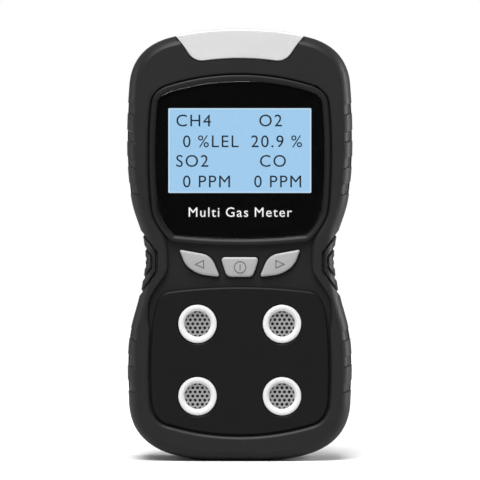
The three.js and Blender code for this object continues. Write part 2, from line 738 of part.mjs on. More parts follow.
function mainBoard() {
  const half = MAIN_BOARD_HALF_WIDTH;
  return plate(rectangle(-half, half, BOARD_BOTTOM, BOARD_TOP, 2), BOARD_FRONT, BOARD_BACK);
}

function sensorBoard() {
  const half = BOSS_X_BASE - BOSS_RADIUS - SENSOR_BOARD_GAP;
  const [foot, top] = [RAIL_BOTTOM + 4, PANEL_TOP - 2];
  return plate(rectangle(-half, half, foot, top, 2), SENSOR_BOARD_FRONT, SENSOR_BOARD_BACK);
}

// A flat ribbon from the back of the main board, over the sensor cells, to the back of the sensor board.
function boardRibbon() {
  const [start, end] = [BOARD_BACK + 0.4, SENSOR_BOARD_BACK + 0.4];
  const line = [
    [start, BOARD_BOTTOM + 5],
    [start, BOARD_BOTTOM + 1],
    [start + 1, BOARD_BOTTOM - 0.4],
    [end - 1, BOARD_BOTTOM - 0.4],
    [end, BOARD_BOTTOM - 1.4],
    [end, PANEL_TOP - 9],
  ].map(([y, z]) => point(y, z));
  return slab(strip(line, 0.4), -7, 7);
}

function batteryPack() {
  const back = INNER_BACK - 2.6;
  const half = BATTERY_WIDTH / 2;
  const foot = BEZEL_BOTTOM - 5;
  return plate(rectangle(-half, half, foot, foot + BATTERY_HEIGHT, 2.5), back - BATTERY_DEPTH, back);
}

function buzzer() {
  const front = SENSOR_BOARD_BACK + 0.1;
  const back = front + 3.6;
  const profile = [[0, front], [BUZZER_RADIUS, front], [BUZZER_RADIUS, back], [1, back], [1, back - 1], [0, back - 1]];
  return turned(profile, -13.5, SENSOR_Z + 8, 14);
}

const MOTOR = { y: SENSOR_BOARD_BACK + 0.2 + MOTOR_RADIUS, z: SENSOR_Z + 8 };

function vibrationMotor() {
  return join(
    rodAlongX(MOTOR_RADIUS, 9, 18, MOTOR.y, MOTOR.z, 16),
    rodAlongX(0.5, 17.8, 21.2, MOTOR.y, MOTOR.z, 10),
  );
}

// A half disc with a bore that runs on the motor's shaft.
function motorWeight() {
  const radius = MOTOR_RADIUS - 0.25;
  const rim = arc(MOTOR.y, MOTOR.z, radius, Math.PI, 2 * Math.PI, 10);
  const outline = [...rim, point(MOTOR.y + 1, MOTOR.z + 0.9), point(MOTOR.y - 1, MOTOR.z + 0.9)];
  return cut(slab(outline, 18.4, 20.9), rodAlongX(0.56, 18, 21.3, MOTOR.y, MOTOR.z, 10));
}

function chargeSocket() {
  const [halfX, halfZ] = [PORT_WIDTH / 2, PORT_HEIGHT / 2];
  const outline = rectangle(-halfX, halfX, PORT_Z - halfZ, PORT_Z + halfZ, 1.2);
  const back = HOUSING_BACK - FLAP_THICKNESS - 0.7;
  const body = plate(outline, SENSOR_BOARD_BACK + 0.1, back);
  const mouth = plate(inset(outline, 0.4), back - 4, back + 1);
  const tongue = box(-3.2, 3.2, back - 4.5, back - 0.8, PORT_Z - 0.35, PORT_Z + 0.35);
  return join(cut(body, mouth), tongue);
}

// ---- Charging flap ----

function flapPinY() {
  return HOUSING_BACK - 0.6;
}

function flapPinZ() {
  return PORT_Z - 5.3 + FLAP_HEIGHT + 0.8;
}

function chargeFlap() {
  const half = FLAP_WIDTH / 2;
  const foot = PORT_Z - 5.3;
  const leaf = plate(
    rectangle(-half, half, foot, foot + FLAP_HEIGHT, 1),
    HOUSING_BACK - 0.15 - FLAP_THICKNESS,
    HOUSING_BACK - 0.15,
  );
  const barrel = rodAlongX(1.05, -half, half, flapPinY(), flapPinZ(), 16);
  const lift = box(-3, 3, HOUSING_BACK - 0.6, HOUSING_BACK + 0.5, foot + 0.6, foot + 1.8);
  const bore = rodAlongX(FLAP_PIN + RUNNING, -half - 1, half + 1, flapPinY(), flapPinZ(), 10);
  return cut(join(leaf, barrel, lift), bore);
}

// ---- Belt clip ----

function clipPlate() {
  const half = CLIP_WIDTH / 2;
  const back = plate(rectangle(-half, half, PLATE_TOP - CLIP_LENGTH, PLATE_TOP, 3), PLATE_FRONT, PLATE_BACK);
  const ear = [
    point(PLATE_FRONT, PIN_Z - 6),
    point(PLATE_BACK, PIN_Z - 6),
    ...arc(PIN_Y, PIN_Z, 3.2, -Math.PI / 3, Math.PI / 3, 8),
    point(PLATE_BACK, PIN_Z + 6),
    point(PLATE_FRONT, PIN_Z + 6),
  ];
  const ears = [-half, half - CLIP_THICKNESS].map((x) => slab(ear, x, x + CLIP_THICKNESS));
  const bore = rodAlongX(CLIP_PIN_RADIUS + 0.1, -half - 1, half + 1, PIN_Y, PIN_Z);
  const holes = CLIP_SCREWS.map((z) => (
    rod(SCREW_SHANK + SCREW_CLEARANCE, PLATE_FRONT - 1, PLATE_BACK + 1, 0, z, 8)
  ));
  return cut(join(back, ...ears), bore, ...holes);
}

function jawLine() {
  const inner = PLATE_BACK + BELT_GAP + CLIP_THICKNESS / 2;
  const atPin = PIN_Y + COIL_RADIUS + 0.3 + CLIP_THICKNESS / 2;
  const foot = PLATE_TOP - CLIP_LENGTH;
  return new THREE.SplineCurve([
    point(atPin + 3.1, PLATE_TOP + 5),
    point(atPin + 0.9, PIN_Z + 9),
    point(atPin, PIN_Z),
    point(inner + 0.6, PIN_Z - 14),
    point(inner + 0.3, foot + 20),
    point(inner - 1.6, foot + 10),
    point(inner - 4.8, foot + 4.2),
    point(inner - 5.4, foot + 1.6),
    point(inner - 4.2, foot - 1),
  ]).getPoints(18);
}

function clipJaw() {
  const half = CLIP_WIDTH / 2 - CLIP_THICKNESS - CLIP_GAP;
  const blade = slab(strip(jawLine(), CLIP_THICKNESS), -half, half);
  const back = PIN_Y + COIL_RADIUS + 0.3 + CLIP_THICKNESS / 2;
  const flange = [
    ...arc(PIN_Y, PIN_Z, 3.2, Math.PI * 0.65, Math.PI * 1.35, 8),
    point(back, PIN_Z - 5),
    point(back, PIN_Z + 5),
  ];
  const flanges = [-half, half - CLIP_THICKNESS].map((x) => slab(flange, x, x + CLIP_THICKNESS));
  const bore = rodAlongX(CLIP_PIN_RADIUS + RUNNING, -half - 1, half + 1, PIN_Y, PIN_Z);
  return cut(join(blade, ...flanges), bore);
}

function clipPin() {
  const end = CLIP_WIDTH / 2 + 0.15;
  const head = 2.4;
  return turnedAlongX([
    [0, -end - 0.8], [head, -end - 0.8], [head, -end], [CLIP_PIN_RADIUS, -end],
    [CLIP_PIN_RADIUS, end], [head, end], [head, end + 0.8], [0, end + 0.8],
  ], PIN_Y, PIN_Z);
}

class Helix extends THREE.Curve {
  getPoint(t, target = new THREE.Vector3()) {
    const radius = CLIP_PIN_RADIUS + COIL_BORE_GAP + COIL_WIRE;
    const length = COIL_TURNS * (2 * COIL_WIRE + 0.5);
    const turn = 2 * Math.PI * COIL_TURNS * t;
    return target.set(length * (t - 0.5), PIN_Y + radius * Math.cos(turn), PIN_Z + radius * Math.sin(turn));
  }
}

function clipSpring() {
  const section = new THREE.Shape(circle(0, 0, COIL_WIRE, 5));
  const geometry = new THREE.ExtrudeGeometry(section, {
    steps: COIL_TURNS * 9,
    extrudePath: new Helix(),
    bevelEnabled: false,
  });
  return solid(geometry);
}

// ---- Fasteners ----

function screw(headBack, tip, x, z) {
  const seat = headBack - SCREW_HEAD_HEIGHT;
  const body = turned([
    [0, tip], [SCREW_SHANK, tip + 0.6], [SCREW_SHANK, seat], [SCREW_HEAD, seat],
    [SCREW_HEAD, headBack - 0.3], [SCREW_HEAD - 0.5, headBack], [0, headBack],
  ], x, z, 10);
  const slots = [
    box(x - 1.2, x + 1.2, headBack - 0.8, headBack + 1, z - 0.25, z + 0.25),
    box(x - 0.25, x + 0.25, headBack - 0.8, headBack + 1, z - 1.2, z + 1.2),
  ];
  return cut(body, ...slots);
}

// ---- Finishes ----

const FINISHES = {
  bootRubber: [0x343434, 0.75, 0],
  housing: [0x1d1d1e, 0.6, 0],
  sealRubber: [0x4a4a4a, 0.9, 0],
  bezel: [0x2c2c2c, 0.4, 0],
  black: [0x050506, 0.15, 0],
  clear: [0xdfe8ee, 0.05, 0],
  lens: [0xe2e2e2, 0.35, 0],
  lcd: [0xa2cef1, 0.3, 0],
  white: [0xececec, 0.35, 0],
  key: [0xababab, 0.45, 0],
  metal: [0xa0a0a0, 0.35, 1],
  steel: [0xb8b8ba, 0.3, 1],
  board: [0x1d5c35, 0.5, 0],
  cell: [0xc9c3b4, 0.5, 0],
  battery: [0x2a4a8c, 0.5, 0],
  ribbon: [0xb56a2a, 0.5, 0],
};

function add(group, name, manifold, finish) {
  const [color, roughness, metalness] = FINISHES[finish];
  const material = new THREE.MeshStandardMaterial({ color, roughness, metalness });
  const mesh = new THREE.Mesh(geometryOf(manifold), material);
  mesh.name = name;
  group.add(mesh);
}

// ---- Assembly ----

function shells(group) {
  add(group, 'protective_boot', protectiveBoot(), 'bootRubber');
  add(group, 'front_housing', frontHousing(), 'housing');
  add(group, 'rear_housing', rearHousing(), 'housing');
  add(group, 'housing_seal', housingSeal(), 'sealRubber');
  BOSSES.forEach(({ x, z }, i) => {
    add(group, `case_screw_${i + 1}`, screw(HOUSING_BACK - 0.2, -7.5, x, z), 'steel');
  });
}

function alarm(group) {
  add(group, 'alarm_lens', alarmLens(), 'lens');
  LEDS.forEach((x, i) => add(group, `alarm_led_${i + 1}`, alarmLed(x), 'white'));
}

function display(group) {
  add(group, 'display_bezel', displayBezel(), 'bezel');
  add(group, 'display_window', displayWindow(), 'clear');
  add(group, 'window_mask', windowMask(), 'black');
  add(group, 'lcd_panel', lcdSheet(LCD_BORDER, LCD_FRONT, LCD_BACK), 'lcd');
  add(group, 'lcd_holder', lcdHolder(), 'black');
  const front = LCD_BACK + 0.45;
  add(group, 'lcd_backlight', lcdSheet(HOLDER_MARGIN - HOLDER_WALL - 0.3, front, front + BACKLIGHT_THICKNESS), 'white');
}

function sensors(group) {
  add(group, 'sensor_cover', sensorCover(), 'housing');
  SENSORS.forEach((place, i) => {
    add(group, `sensor_ring_${i + 1}`, sensorRing(place), 'white');
    add(group, `sensor_mesh_${i + 1}`, sensorMesh(place), 'metal');
    add(group, `sensor_seal_${i + 1}`, sensorSeal(place), 'sealRubber');
    add(group, `sensor_cell_${i + 1}`, sensorCell(place), 'cell');
  });
}

function keypad(group) {
  KEYS.forEach((key) => {
    add(group, `key_${key.name}`, keyCap(key), 'key');
    add(group, `switch_${key.name}`, keySwitch(key), 'black');
  });
  add(group, 'keypad_mat', keypadMat(), 'sealRubber');
}

function electronics(group) {
  add(group, 'main_board', mainBoard(), 'board');
  add(group, 'sensor_board', sensorBoard(), 'board');
  add(group, 'board_ribbon', boardRibbon(), 'ribbon');
  add(group, 'battery_pack', batteryPack(), 'battery');
  add(group, 'buzzer', buzzer(), 'black');
  add(group, 'vibration_motor', vibrationMotor(), 'steel');
  add(group, 'motor_weight', motorWeight(), 'metal');
  add(group, 'charge_socket', chargeSocket(), 'steel');
}

function flap(group) {
  add(group, 'charge_flap', chargeFlap(), 'bootRubber');
  const end = FLAP_WIDTH / 2 + 1.4;
  add(group, 'flap_pin', rodAlongX(FLAP_PIN, -end, end, flapPinY(), flapPinZ(), 10), 'steel');
}

function clip(group) {
  add(group, 'clip_plate', clipPlate(), 'steel');
  add(group, 'clip_jaw', clipJaw(), 'steel');
  add(group, 'clip_pin', clipPin(), 'steel');
  add(group, 'clip_spring', clipSpring(), 'steel');
  CLIP_SCREWS.forEach((z, i) => {
    const head = PLATE_BACK + 0.05 + SCREW_HEAD_HEIGHT;
    add(group, `clip_screw_${i + 1}`, screw(head, INNER_BACK - 2, 0, z), 'steel');
  });
}

const detector = new THREE.Group();
[shells, alarm, display, sensors, keypad, electronics, flap, clip].forEach((build) => build(detector));

export default detector;
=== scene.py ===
"""Portable gas detector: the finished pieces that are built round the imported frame.

Outlines are worked out in millimetres in the plane of the display, X to the right and Z up, and the
Y of a piece says how far it stands behind the parting plane of the two shells. Meshes are in metres.
"""

import json
import logging
import math
from dataclasses import dataclass
from enum import Enum

import bmesh
import bpy
import numpy as np
from mathutils import Matrix, Vector, geometry


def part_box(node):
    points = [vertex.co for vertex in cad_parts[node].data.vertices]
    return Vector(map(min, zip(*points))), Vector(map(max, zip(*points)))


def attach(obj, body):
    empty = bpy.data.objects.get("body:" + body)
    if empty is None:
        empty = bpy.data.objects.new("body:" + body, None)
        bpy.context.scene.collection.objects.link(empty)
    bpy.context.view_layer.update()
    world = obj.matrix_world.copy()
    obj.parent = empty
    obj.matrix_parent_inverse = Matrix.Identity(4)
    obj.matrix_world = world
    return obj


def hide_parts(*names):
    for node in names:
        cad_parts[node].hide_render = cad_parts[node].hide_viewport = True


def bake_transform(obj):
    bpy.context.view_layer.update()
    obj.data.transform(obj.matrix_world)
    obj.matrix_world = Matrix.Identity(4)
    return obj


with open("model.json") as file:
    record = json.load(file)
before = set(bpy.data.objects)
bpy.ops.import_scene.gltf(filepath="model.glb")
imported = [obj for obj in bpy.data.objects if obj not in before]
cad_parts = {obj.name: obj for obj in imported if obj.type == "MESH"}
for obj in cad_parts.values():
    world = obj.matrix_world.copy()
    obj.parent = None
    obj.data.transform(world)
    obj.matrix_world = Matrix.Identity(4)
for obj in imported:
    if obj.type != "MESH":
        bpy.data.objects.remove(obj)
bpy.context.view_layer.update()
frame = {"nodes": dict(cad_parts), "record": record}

MM = 0.001
LOG = logging.getLogger("gas_detector")
HOME_BODY = "detector"
CAP_MARGIN = 0.04


# ---- Plane outlines ----


class Path:
    """A path in X and Z, in millimetres, that starts on the centre line of a symmetric outline."""

    STEPS = 20

    def __init__(self, x: float, z: float) -> None:
        """Starts the path.

        Args:
            x: The first point's X.
            z: The first point's Z.
        """
        self.points: list[np.ndarray] = [np.array((x, z), float)]

    def line(self, x: float, z: float) -> "Path":
        """Adds a straight stretch to (x, z) and returns the path."""
        self.points.append(np.array((x, z), float))
        return self

    def quad(self, cx: float, cz: float, x: float, z: float) -> "Path":
        """Adds a curve to (x, z) that is pulled to (cx, cz), and returns the path.

        Args:
            cx: The handle, across.
            cz: The handle, up.
            x: The end, across.
            z: The end, up.

        Returns:
            The path.
        """
        start, pull, end = self.points[-1], np.array((cx, cz)), np.array((x, z))
        for t in np.linspace(0, 1, self.STEPS + 1)[1:]:
            self.points.append((1 - t) ** 2 * start + 2 * t * (1 - t) * pull + t * t * end)
        return self

    def cubic(self, ax: float, az: float, bx: float, bz: float, x: float, z: float) -> "Path":
        """Adds a curve to (x, z) with handles (ax, az) and (bx, bz), and returns the path.

        Args:
            ax: The first handle, across.
            az: The first handle, up.
            bx: The second handle, across.
            bz: The second handle, up.
            x: The end, across.
            z: The end, up.

        Returns:
            The path.
        """
        start, a, b, end = self.points[-1], np.array((ax, az)), np.array((bx, bz)), np.array((x, z))
        for t in np.linspace(0, 1, self.STEPS + 1)[1:]:
            u = 1 - t
            self.points.append(u**3 * start + 3 * u * u * t * a + 3 * u * t * t * b + t**3 * end)
        return self

    def mirrored(self) -> np.ndarray:
        """Returns the closed outline that the path and its mirror image make, anticlockwise.

        Returns:
            The outline, as rows of x and z.
        """
        right = np.array(self.points)
        left = right[-2:0:-1] * (-1, 1)
        return np.vstack((right, left))


def normals_of(points: np.ndarray) -> np.ndarray:
    """Finds the outward unit normals of a closed anticlockwise outline.

    Args:
        points: The outline, one row for each point.

    Returns:
        One unit normal for each point.
    """
    along = np.roll(points, -1, 0) - points
    edge = np.stack((along[:, 1], -along[:, 0]), 1)
    edge /= np.maximum(np.linalg.norm(edge, axis=1, keepdims=True), 1e-9)
    middle = edge + np.roll(edge, 1, 0)
    return middle / np.maximum(np.linalg.norm(middle, axis=1, keepdims=True), 1e-9)


def inset(points: np.ndarray, distance: float) -> np.ndarray:
    """Moves a closed anticlockwise outline in by a distance, or out by a negative one."""
    return points - normals_of(points) * distance


def even(points: np.ndarray, spacing: float) -> np.ndarray:
    """Returns the closed outline again with points at an even spacing along it.

    Args:
        points: The outline, as rows of x and z.
        spacing: The distance wanted between points, in millimetres.

    Returns:
        The outline with its new points.
    """
    closed = np.vstack((points, points[:1]))
    length = np.concatenate(([0], np.cumsum(np.linalg.norm(np.diff(closed, axis=0), axis=1))))
    at = np.linspace(0, length[-1], max(12, round(length[-1] / spacing)), endpoint=False)
    return np.stack((np.interp(at, length, closed[:, 0]), np.interp(at, length, closed[:, 1])), 1)


def rounded(corners: list[tuple[float, float, float]], steps: int = 8) -> np.ndarray:
    """Rounds the corners of a polygon.

    Args:
        corners: X, Z and how far from the corner its rounding starts, anticlockwise.
        steps: How many pieces each rounding has.

    Returns:
        The closed outline.
    """
    points = []
    for i, (x, z, reach) in enumerate(corners):
        corner = np.array((x, z))
        before = np.array(corners[i - 1][:2]) - corner
        after = np.array(corners[(i + 1) % len(corners)][:2]) - corner
        start = corner + before / np.linalg.norm(before) * reach
        end = corner + after / np.linalg.norm(after) * reach
        for t in np.linspace(0, 1, steps + 1):
            points.append((1 - t) ** 2 * start + 2 * t * (1 - t) * corner + t * t * end)
    return np.array(points)


def rectangle(x0: float, x1: float, z0: float, z1: float, reach: float) -> np.ndarray:
    """Returns a rectangle with rounded corners as a closed outline."""
    return rounded([(x0, z0, reach), (x1, z0, reach), (x1, z1, reach), (x0, z1, reach)])


def circle(x: float, z: float, radius: float, sides: int = 64) -> np.ndarray:
    """Returns a circle as a closed anticlockwise outline."""
    turn = np.linspace(0, 2 * math.pi, sides, endpoint=False)
    return np.stack((x + radius * np.cos(turn), z + radius * np.sin(turn)), 1)


def reach_inwards(points: np.ndarray, normals: np.ndarray, targets: list[np.ndarray]) -> np.ndarray:
    """Measures how far each point of an outline is from the first target outline inside it.

    Args:
        points: Where the measuring lines start.
        normals: Their outward directions; the lines run the other way.
        targets: Closed outlines.

    Returns:
        The distance for each point.
    """
    best = np.full(len(points), 60.0)
    for target in targets:
        start, along = target, np.roll(target, -1, 0) - target
        for i, (origin, normal) in enumerate(zip(points, normals)):
            ray = -normal
            cross = ray[0] * along[:, 1] - ray[1] * along[:, 0]
            cross[np.abs(cross) < 1e-12] = 1e-12
            offset = start - origin
            far = (offset[:, 0] * along[:, 1] - offset[:, 1] * along[:, 0]) / cross
            part = (offset[:, 0] * ray[1] - offset[:, 1] * ray[0]) / cross
            hits = far[(part >= 0) & (part < 1) & (far > 0)]
            if len(hits):
                best[i] = min(best[i], hits.min())
    return best


# ---- Sizes that come from the frame ----


@dataclass(frozen=True)
class Layout:
    """The body's driving sizes in millimetres, with outlines worked out from them."""

    width: float
    height: float
    boot_front: float
    boot_rear: float
    cover_foot: float
    cover_top: float
    bezel_foot: float
    bezel_top: float
    face: float
    back: float
    waist_inset: float = 5.7
    base_flat: float = 8.0

    @classmethod
    def from_frame(cls) -> "Layout":
        """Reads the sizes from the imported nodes.

        Returns:
            The layout.
        """
        boot, cover, bezel = (span(n) for n in ("protective_boot", "sensor_cover", "display_bezel"))
        lens, front, rear = (span(n) for n in ("alarm_lens", "front_housing", "rear_housing"))
        return cls(
            width=boot[1].x - boot[0].x,
            height=lens[1].z,
            boot_front=boot[0].y,
            boot_rear=boot[1].y,
            cover_foot=cover[0].z,
            cover_top=cover[1].z,
            bezel_foot=bezel[0].z,
            bezel_top=bezel[1].z,
            face=front[0].y,
            back=rear[1].y,
        )

    @property
    def half(self) -> float:
        """Half the body's width."""
        return self.width / 2

    @property
    def waist_z(self) -> float:
        """The height of the narrowest part of the grip."""
        return self.cover_top + 10.9

    @property
    def grip_z(self) -> float:
        """The height of the middle of the grip's chevrons."""
        return self.cover_top + 8.2

    @property
    def key_z(self) -> float:
        """The height of the keys."""
        return self.cover_top + 6.6

    def silhouette(self) -> np.ndarray:
        """Returns the outline of the whole body.

        Returns:
            The outline, as rows of x and z.
        """
        half, waist, hip, top = self.half, self.half - self.waist_inset, self.waist_z - 25.7, self.height
        at = self.waist_z
        path = Path(0, 0).line(self.base_flat, 0)
        path.cubic(half - 11.5, 0.6, half - 0.4, 6, half - 0.6, 21)
        path.cubic(half, 29, half, hip - 6, half - 1.1, hip)
        path.cubic(half - 2.3, hip + 7.5, waist + 0.4, at - 14.7, waist, at)
        path.cubic(waist, at + 8.8, half - 2.2, at + 11.3, half - 1.1, at + 20.3)
        path.cubic(half - 0.4, at + 26.3, half, top - 44.5, half, top - 37.5)
        path.cubic(half, top - 29.5, half - 0.3, top - 24.5, half - 0.7, top - 19.2)
        path.cubic(half - 1.1, top - 10.5, half - 6, top - 4.5, half - 15.75, top - 2.45)
        return path.quad(12, top, 0, top).mirrored()

    def lens(self) -> np.ndarray:
        """Returns the outline of the alarm lens.

        Returns:
            The outline, as rows of x and z.
        """
        top, foot = self.height, self.height - 10.2
        path = Path(0, foot).quad(6, foot, 11.7, foot - 0.8)
        path.quad(15.2, foot - 1.2, 17.3, foot + 1.8)
        return path.line(21.2, top - 2.2).quad(12, top, 0, top).mirrored()

    def bezel(self) -> np.ndarray:
        """Returns the outer outline of the display's bezel.

        Returns:
            The outline, as rows of x and z.
        """
        half, foot, top = 30.1, self.bezel_foot, self.bezel_top
        path = Path(0, foot).quad(11, foot, half - 8.2, foot + 1.2)
        path.cubic(half - 5.9, foot + 1.6, half - 2.1, foot + 6.9, half - 1.1, foot + 11.1)
        path.cubic(half - 0.2, foot + 18.3, half + 0.5, top - 22, half - 0.9, top - 9.5)
        path.quad(half - 1, top - 5.4, half - 6.3, top - 3.6)
        return path.quad(12, top, 0, top).mirrored()

    def cover(self) -> np.ndarray:
        """Returns the outline of the plate round the gas ports.

        Returns:
            The outline, as rows of x and z.
        """
        half, foot, top = 29.7, self.cover_foot, self.cover_top
        path = Path(0, foot).quad(12, foot, half - 5.7, foot + 3.6)
        path.quad(half - 1.5, foot + 4.8, half - 0.5, foot + 10.2)
        path.cubic(half + 0.1, foot + 17.2, half + 0.1, top - 20.8, half - 0.8, top - 11.8)
        path.quad(half - 1.6, top - 2, half - 6.5, top - 1.5)
        return path.quad(12, top, 0, top).mirrored()

    def neck(self) -> np.ndarray:
        """Returns the part of the boot's opening that holds the keys and flares over the cover.

        Returns:
            The outline, as rows of x and z.
        """
        half, top, foot = 23.8, self.cover_top, self.bezel_foot
        right = [(30.3, top - 12), (30.1, top - 4.3), (half + 3.3, top + 0.6), (half, top + 5),
                 (half, foot - 2.3), (half + 0.9, foot + 4)]
        return np.array(right + [(-x, z) for x, z in reversed(right)])

    def side_key(self, side: int) -> np.ndarray:
        """Returns the outline of the right key (side 1) or the left key (side -1).

        Args:
            side: 1 for the right key, -1 for the left.

        Returns:
            The outline, as rows of x and z.
        """
        corners = [(6.6, -3.3, 1.2), (13.9, -2.4, 2.7), (18, 0.5, 2.2), (20.1, 5.8, 0.9), (9.6, 3.9, 3.2)]
        placed = [(side * x, self.key_z + z, reach) for x, z, reach in corners]
        return rounded(placed if side > 0 else placed[::-1])

    def power_key(self) -> np.ndarray:
        """Returns the outline of the middle key."""
        foot, top = self.key_z - 3.25, self.key_z + 3.25
        return rounded([(-4.3, foot, 1.6), (4.3, foot, 1.6), (6.4, top, 1.7), (-6.4, top, 1.7)])


def span(node: str) -> tuple[Vector, Vector]:
    """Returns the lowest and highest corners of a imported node, in millimetres."""
    low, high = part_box(node)
    return low / MM, high / MM


def middle(node: str) -> Vector:
    """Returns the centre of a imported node's box, in millimetres."""
    low, high = span(node)
    return (low + high) / 2


# ---- Meshes ----


def make_object(name: str, vertices: np.ndarray, faces: list, smooth_deg: float = 35) -> bpy.types.Object:
    """Makes a mesh object from vertices in millimetres.

    Args:
        name: The piece's name.
        vertices: One row of X, Y, Z for each vertex.
        faces: Lists of vertex numbers.
        smooth_deg: Edges sharper than this stay sharp.

    Returns:
        The linked object, with its faces turned outwards.
    """
    mesh = bpy.data.meshes.new(name)
    mesh.from_pydata((np.asarray(vertices, float) * MM).tolist(), [], faces)
    tidy_mesh(mesh, smooth_deg)
    obj = bpy.data.objects.new(name, mesh)
    bpy.context.scene.collection.objects.link(obj)
    return obj


def tidy_mesh(mesh: bpy.types.Mesh, smooth_deg: float) -> None:
    """Merges doubles, turns faces outwards, and shades smooth up to an angle.

    Args:
        mesh: The mesh, changed in place.
        smooth_deg: Edges sharper than this stay sharp.
    """
    work = bmesh.new()
    work.from_mesh(mesh)
    bmesh.ops.remove_doubles(work, verts=work.verts, dist=1e-7)
    bmesh.ops.recalc_face_normals(work, faces=work.faces)
    work.to_mesh(mesh)
    work.free()
    mesh.shade_smooth()
    mesh.set_sharp_from_angle(angle=math.radians(smooth_deg))


def swept(name: str, rings: np.ndarray, closed: bool, smooth_deg: float = 35) -> bpy.types.Object:
    """Joins rings of points into a closed skin.

    Args:
        name: The piece's name.
        rings: Ring by point by X, Y, Z, in millimetres.
        closed: Whether the last ring joins the first; if not, both ends are capped.
        smooth_deg: Edges sharper than this stay sharp.

    Returns:
        The object.
    """
    count, size = rings.shape[:2]
    faces = []
    for j in range(count if closed else count - 1):
        a, b = j * size, ((j + 1) % count) * size
        for i in range(size):
            k = (i + 1) % size
            faces.append((a + i, a + k, b + k, b + i))
    if not closed:
        faces.append(tuple(range(size)))
        faces.append(tuple(range((count - 1) * size, count * size)))
    return make_object(name, rings.reshape(-1, 3), faces, smooth_deg)


def raised(outline: np.ndarray, y: float) -> np.ndarray:
    """Returns an outline as X, Y, Z points at one depth."""
    return np.stack((outline[:, 0], np.full(len(outline), y), outline[:, 1]), 1)


def pillow(name: str, outline: np.ndarray, profile: list[tuple[float, float]]) -> bpy.types.Object:
    """Stacks an outline at each inset and depth of a profile, and caps both ends.

    A ring just inside each end keeps the shading of the flat caps even.

    Args:
        name: The piece's name.
        outline: The closed outline.
        profile: Inset and Y of each ring, from one end of the piece to the other.

    Returns:
        The object.
    """
    (first, start), (last, end) = profile[0], profile[-1]
    whole = [(first + CAP_MARGIN, start), *profile, (last + CAP_MARGIN, end)]
    rings = np.array([raised(inset(outline, step), y) for step, y in whole])
    return swept(name, rings, closed=False)


def band(name: str, outline: np.ndarray, profile: list[tuple[float, float]]) -> bpy.types.Object:
    """Carries a closed profile of inset and Y round an outline."""
    rings = np.array([raised(inset(outline, step), y) for step, y in profile])
    return swept(name, rings, closed=True)


def distance_inside(points: np.ndarray, outline: np.ndarray) -> np.ndarray:
    """Measures how far each point is from the nearest edge of a closed outline.

    Args:
        points: The points to measure, as rows of x and z.
        outline: The closed outline.

    Returns:
        One distance for each point, in millimetres.
    """
    start, along = outline, np.roll(outline, -1, 0) - outline
    best = np.full(len(points), np.inf)
    for origin, edge in zip(start, along):
        share = np.clip(((points - origin) @ edge) / max(edge @ edge, 1e-12), 0, 1)
        best = np.minimum(best, np.linalg.norm(points - origin - share[:, None] * edge, axis=1))
    return best


def crowned(name: str, outline: np.ndarray, skirt: list[tuple[float, float]], front: float, drop: float,
            reach: float, spacing: float = 0.28, dish: float = 0.0) -> bpy.types.Object:
    """Builds a cap whose top rounds over near its edge, whatever the shape of its outline.

    Args:
        name: The piece's name.
        outline: The closed outline of the cap's side.
        skirt: Inset and Y of each ring below the rounded edge, from the back to the front.
        front: The Y of the top of the crown.
        drop: How far back the rounded edge starts.
        reach: How far in from the outline the rounding ends.
        spacing: The distance between the points of the top.
        dish: How far the crown still rises from the end of the rounding to the middle.

    Returns:
        The object.
    """
    low, high = outline.min(0), outline.max(0)
    steps_x, steps_z = (np.arange(a, b, spacing) for a, b in zip(low, high))
    grid = np.array([(x + (j % 2) * spacing / 2, z) for j, z in enumerate(steps_z) for x in steps_x])
    closed = [Vector(p) for p in outline]
    inside = np.array([within(p, outline) for p in grid])
    grid = grid[inside]
    grid = grid[distance_inside(grid, outline) > spacing * 0.45]
    count = len(outline)
    result = geometry.delaunay_2d_cdt(closed + [Vector(p) for p in grid], [], [list(range(count))], 1, 1e-5)
    flat = np.array([tuple(v) for v in result[0]])
    away = distance_inside(flat, outline)
    rise = np.sqrt(np.clip(1 - (1 - np.clip(away / reach, 0, 1)) ** 2, 0, 1))
    deep = np.clip((away - reach) / 2.2, 0, 1)
    top = np.stack((flat[:, 0], front + drop * (1 - rise) + dish * (1 - deep) ** 2, flat[:, 1]), 1)
    top[:count] = raised(outline, front + drop)
    rings = [raised(inset(outline, step), y) for step, y in skirt]
    vertices = np.vstack([top] + rings[::-1])
    faces = [tuple(f) for f in result[2]]
    starts = [0] + [len(top) + i * count for i in range(len(rings))]
    for a, b in zip(starts, starts[1:]):
        faces += [(a + i, a + (i + 1) % count, b + (i + 1) % count, b + i) for i in range(count)]
    faces.append(tuple(range(starts[-1], starts[-1] + count)))
    return make_object(name, vertices, faces, 40)


def within(point: np.ndarray, outline: np.ndarray) -> bool:
    """Returns whether a point is inside a closed outline.

    Args:
        point: The point, as x and z.
        outline: The closed outline.

    Returns:
        True if the point is inside.
    """
    start, end = outline, np.roll(outline, -1, 0)
    crosses = (start[:, 1] > point[1]) != (end[:, 1] > point[1])
    run = end[:, 1] - start[:, 1]
    at = start[:, 0] + (point[1] - start[:, 1]) / np.where(run == 0, 1, run) * (end[:, 0] - start[:, 0])
    return bool((crosses & (point[0] < at)).sum() % 2)


def turned(name: str, profile: list[tuple[float, float]], x: float, z: float,
           sides: int = 96) -> bpy.types.Object:
    """Turns a closed profile of radius and Y round an axis along Y through (x, z)."""
    rings = np.array([raised(circle(x, z, radius, sides), y) for radius, y in profile])
    return swept(name, rings, closed=True)


def prism(name: str, outline: np.ndarray, front: float, back: float) -> bpy.types.Object:
    """Returns a plain prism of an outline between two depths, used as a cutter or a thin sheet."""
    return pillow(name, outline, [(0, front), (0, back)])


